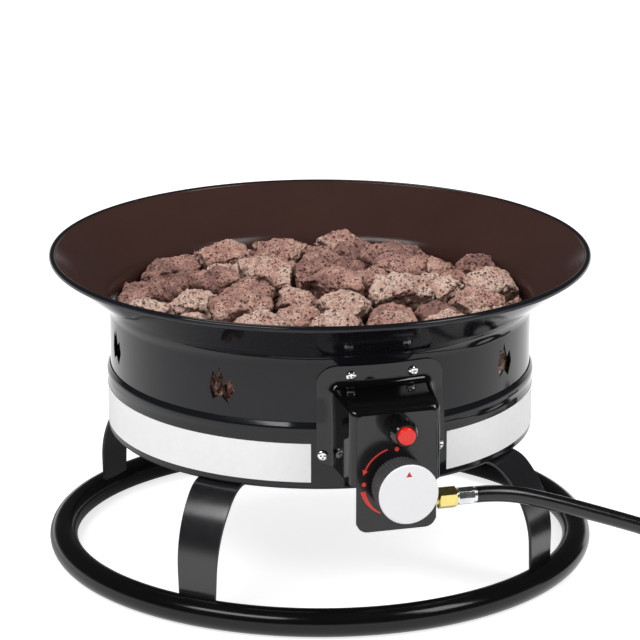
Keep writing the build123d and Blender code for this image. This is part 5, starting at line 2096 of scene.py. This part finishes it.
    def build(self) -> None:
        """Makes the gas line from the valve to the tank's nut, and the ignition wire."""
        turns = self.lower_turns + self.climb_turns + self.upper_turns
        steps = round(turns * self.points_per_turn)
        points = [(x, -self.inlet_depth, z) for x, z in self.route]
        points += [self.coil_point(turns * k / steps) for k in range(steps + 1)]
        x, y, z = points[-1]
        points += [(x, y + share * self.tail, z) for share in self.tail_points]
        hose = self.cord("gas_line_hose", points, self.hose, HOSE_RUBBER, ["gas_hose", "gas_hose_coil"])
        self.fittings()
        self.regulator_pieces()
        wire = self.cord("spark_wire", self.wire_route, self.wire, WIRE, ["ignition_wire"])


@dataclass
class Burner:
    """The ring burner under the rocks, with its inlet tube and spark electrode."""

    finishes: tuple[tuple[str, Finish], ...] = (
        ("burner_ring", BURNER),
        ("venturi_tube", BURNER),
        ("burner_brackets", BURNER),
        ("burner_screws", ZINC),
        ("electrode_insulator", CERAMIC),
        ("electrode_rod", SPRING),
    )

    def build(self) -> None:
        """Dresses the burner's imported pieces."""
        for node, finish in self.finishes:
            dressed(node, finish)


@dataclass
class RockBed:
    """The lava rock that fills the bowl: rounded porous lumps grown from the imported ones."""

    layers: tuple[tuple[str, str, float], ...] = (
        ("lava_rocks_upper", "rocks_top", 0.0027),
        ("lava_rocks_middle", "rocks_between", 0.009),
        ("lava_rocks_lower", "rocks_bottom", 0.009),
    )
    first_edge: float = 0.006
    passes: int = 7
    rounding: int = 7
    rounding_share: float = 0.5
    lump_noise: tuple[float, float, float, int] = (60.0, 0.9, 2.1, 3)
    lump_depth: float = 0.0034
    lump_range: Span = (0.55, 0.75)
    knob_noise: tuple[float, float, float, int] = (170.0, 0.7, 2.2, 3)
    knob_depth: float = 0.0022
    knob_level: float = 0.5
    pit_scale: float = 130.0
    pit_reach: float = 0.42
    pit_depth: float = 0.0014
    swelling: float = 0.0015

    def refined(self, bm: BMesh, longest: float) -> BMesh:
        """Divides a form until its edges are short.

        Args:
            bm: The form.
            longest: The length that its edges are brought under.

        Returns:
            The same form, in triangles.
        """
        bmesh.ops.triangulate(bm, faces=bm.faces)
        for _ in range(self.passes):
            long_edges = [edge for edge in bm.edges if edge.calc_length() > longest]
            if not long_edges:
                break
            bmesh.ops.subdivide_edges(bm, edges=long_edges, cuts=1)
            bmesh.ops.triangulate(bm, faces=[face for face in bm.faces if len(face.verts) > 3])
        return bm

    def worn(self, bm: BMesh) -> BMesh:
        """Wears the lumps' skin into knobs and pits, and swells their tops.

        Args:
            bm: The lumps, finely divided.

        Returns:
            The same form.
        """
        bm.normal_update()
        lump_scale, *lump_octaves = self.lump_noise
        knob_scale, *knob_octaves = self.knob_noise
        level, swing = self.lump_range
        moves = []
        for vert in bm.verts:
            spot = vert.co
            swell = noise.fractal(spot * lump_scale, *lump_octaves)
            knobs = noise.fractal(spot * knob_scale, *knob_octaves)
            near = noise.voronoi(spot * self.pit_scale)[0][0]
            pit = max(0.0, 1.0 - near / self.pit_reach)
            drop = self.lump_depth * (level - swing * swell) + self.knob_depth * (self.knob_level - knobs)
            swollen = self.swelling * max(0.0, vert.normal.z)
            moves.append(vert.normal * (swollen - max(0.0, drop) - self.pit_depth * pit))
        for vert, move in zip(bm.verts, moves):
            vert.co += move
        return bm

    def build(self) -> None:
        """Makes each layer of rock."""
        for node, name, edge in self.layers:
            bm = self.refined(merged_copy(node), max(edge, self.first_edge))
            for _ in range(self.rounding):
                bmesh.ops.smooth_vert(
                    bm,
                    verts=bm.verts,
                    factor=self.rounding_share,
                    use_axis_x=True,
                    use_axis_y=True,
                    use_axis_z=True,
                )
            rocks = self.worn(self.refined(bm, edge))
            placed(name, rocks, ROCK, replaces=[node], crease=SMOOTH_CREASE)


@dataclass
class Studio:
    """The pale floor, the soft lamps and the camera."""

    camera_place: Point = (-0.8685, -2.9702, 1.1585)
    camera_turn: Point = (72.974, 0.0, -16.3)
    lens: float = 202.66
    sensor: float = 36.0
    far_clip: float = 50.0
    floor_half: float = 6.0
    floor_level: float = -0.0002
    floor_rough: float = 0.9
    ambient: float = 0.66
    dome: float = 0.05
    horizon: float = 0.12
    floor_grey: float = 0.6
    floor_lift: float = 0.76
    # A painted shadow that only gloss sees: its middle, the radius inside which it is darkest, the radius
    # where it ends, and the share of brightness left in it
    shadow_middle: Point = (0.0, 0.2, 0.0)
    shadow_inner: float = 0.22
    shadow_outer: float = 0.42
    shadow_level: float = 0.15
    lamps: tuple[tuple[str, Point, Point, tuple[float, float], float], ...] = (
        ("left", (-1.36, -0.93, 1.6), (0.0, 0.0, 0.15), (1.4, 0.5), 20.0),
        ("right", (1.1, -1.2, 1.55), (0.0, 0.0, 0.15), (0.7, 0.9), 15.0),
        ("back", (0.0, 1.3, 2.2), (0.0, 0.0, 0.2), (0.6, 0.4), 6.0),
    )

    def seen_or_mirrored(self, tree: NodeTree) -> NodeSocket:
        """A value of 1 on rays from the camera, off gloss and through glass.

        Args:
            tree: The shader's tree.

        Returns:
            The value.
        """
        path = tree.nodes.new("ShaderNodeLightPath").outputs
        total = path["Is Camera Ray"]
        for word in ("Is Glossy Ray", "Is Transmission Ray"):
            total = summed(tree, Sum.LARGER, total, path[word])
        return total

    def on_gloss(self, tree: NodeTree, value: NodeSocket) -> NodeSocket:
        """A value that counts only on rays off gloss, and is 0 on others."""
        mirrored = tree.nodes.new("ShaderNodeLightPath").outputs["Is Glossy Ray"]
        return summed(tree, Sum.TIMES, mirrored, value)

    def world(self) -> None:
        """A white surround that lights the pit at a plain level, and that gloss shows as a dim dome above."""
        world = bpy.data.worlds.new("studio")
        world.use_nodes = True
        tree = world.node_tree
        back = tree.nodes["Background"]
        back.inputs["Color"].default_value = WHITE
        level = mapped(tree, self.seen_or_mirrored(tree), WHOLE, (self.ambient, 1.0))
        way = tree.nodes.new("ShaderNodeSeparateXYZ")
        tree.links.new(tree.nodes.new("ShaderNodeTexCoord").outputs["Generated"], way.inputs[0])
        fade = mapped(tree, way.outputs["Z"], (0.0, self.horizon), (0.0, 1.0 - self.dome))
        seen = summed(tree, Sum.LESS, level, self.on_gloss(tree, fade))
        tree.links.new(seen, back.inputs["Strength"])
        bpy.context.scene.world = world

    def floor(self) -> None:
        """A pale floor that looks white and keeps the pit's shadow, with a painted shadow round the pit where
        gloss shows it.
        """
        bm = bmesh.new()
        bmesh.ops.create_grid(bm, x_segments=1, y_segments=1, size=self.floor_half)
        bmesh.ops.translate(bm, verts=bm.verts, vec=(0.0, 0.0, self.floor_level))
        mesh = meshed("floor", bm)
        paint = bpy.data.materials.new("floor_paint")
        paint.use_nodes = True
        tree = paint.node_tree
        shader = tree.nodes["Principled BSDF"]
        shader.inputs["Roughness"].default_value = self.floor_rough
        shader.inputs["Emission Color"].default_value = WHITE
        reach = tree.nodes.new("ShaderNodeVectorMath")
        reach.operation = "DISTANCE"
        reach.inputs[1].default_value = self.shadow_middle
        tree.links.new(tree.nodes.new("ShaderNodeTexCoord").outputs["Object"], reach.inputs[0])
        # Painted shadow: on rays off gloss the floor's glow and colour fade to a dark disc round
        # shadow_middle
        edge, depth = (self.shadow_inner, self.shadow_outer), (1.0 - self.shadow_level, 0.0)
        painted_shadow = self.on_gloss(tree, mapped(tree, reach.outputs["Value"], edge, depth))
        for amount, level, socket in (
            (self.floor_lift, self.seen_or_mirrored(tree), "Emission Strength"),
            (self.floor_grey, 1.0, "Base Color"),
        ):
            rest = summed(tree, Sum.LESS, level, painted_shadow)
            tree.links.new(summed(tree, Sum.TIMES, rest, amount), shader.inputs[socket])
        mesh.materials.append(paint)
        floor = shown("floor", mesh)

    def light(self) -> None:
        """The soft lamps."""
        for name, place, aim, size, power in self.lamps:
            lamp = bpy.data.lights.new(name, "AREA")
            lamp.shape = "RECTANGLE"
            lamp.size, lamp.size_y = size
            lamp.energy = power
            holder = shown(name, lamp)
            holder.location = place
            holder.rotation_euler = (Vector(aim) - Vector(place)).to_track_quat("-Z", "Y").to_euler()

    def camera(self) -> None:
        """The camera at the photograph's angle."""
        lens = bpy.data.cameras.new("camera")
        lens.lens = self.lens
        lens.sensor_width = self.sensor
        lens.clip_end = self.far_clip
        holder = shown("camera", lens)
        holder.location = self.camera_place
        holder.rotation_euler = [math.radians(angle) for angle in self.camera_turn]
        bpy.context.scene.camera = holder

    def build(self) -> None:
        """Sets up the studio."""
        bpy.context.scene.view_settings.view_transform = "Standard"
        self.world()
        self.floor()
        self.light()
        self.camera()


def main() -> None:
    """Builds the studio and the pit, piece by piece."""
    logging.basicConfig(level=logging.INFO, format="%(name)s: %(message)s")
    for assembly in (
        Studio(),
        GasLine(),
        FireBowl(),
        BasePan(),
        Stand(),
        ControlHousing(),
        Controls(),
        Burner(),
        RockBed(),
    ):
        log.info("%s", type(assembly).__name__)
        assembly.build()


if __name__ == "__main__":
    main()
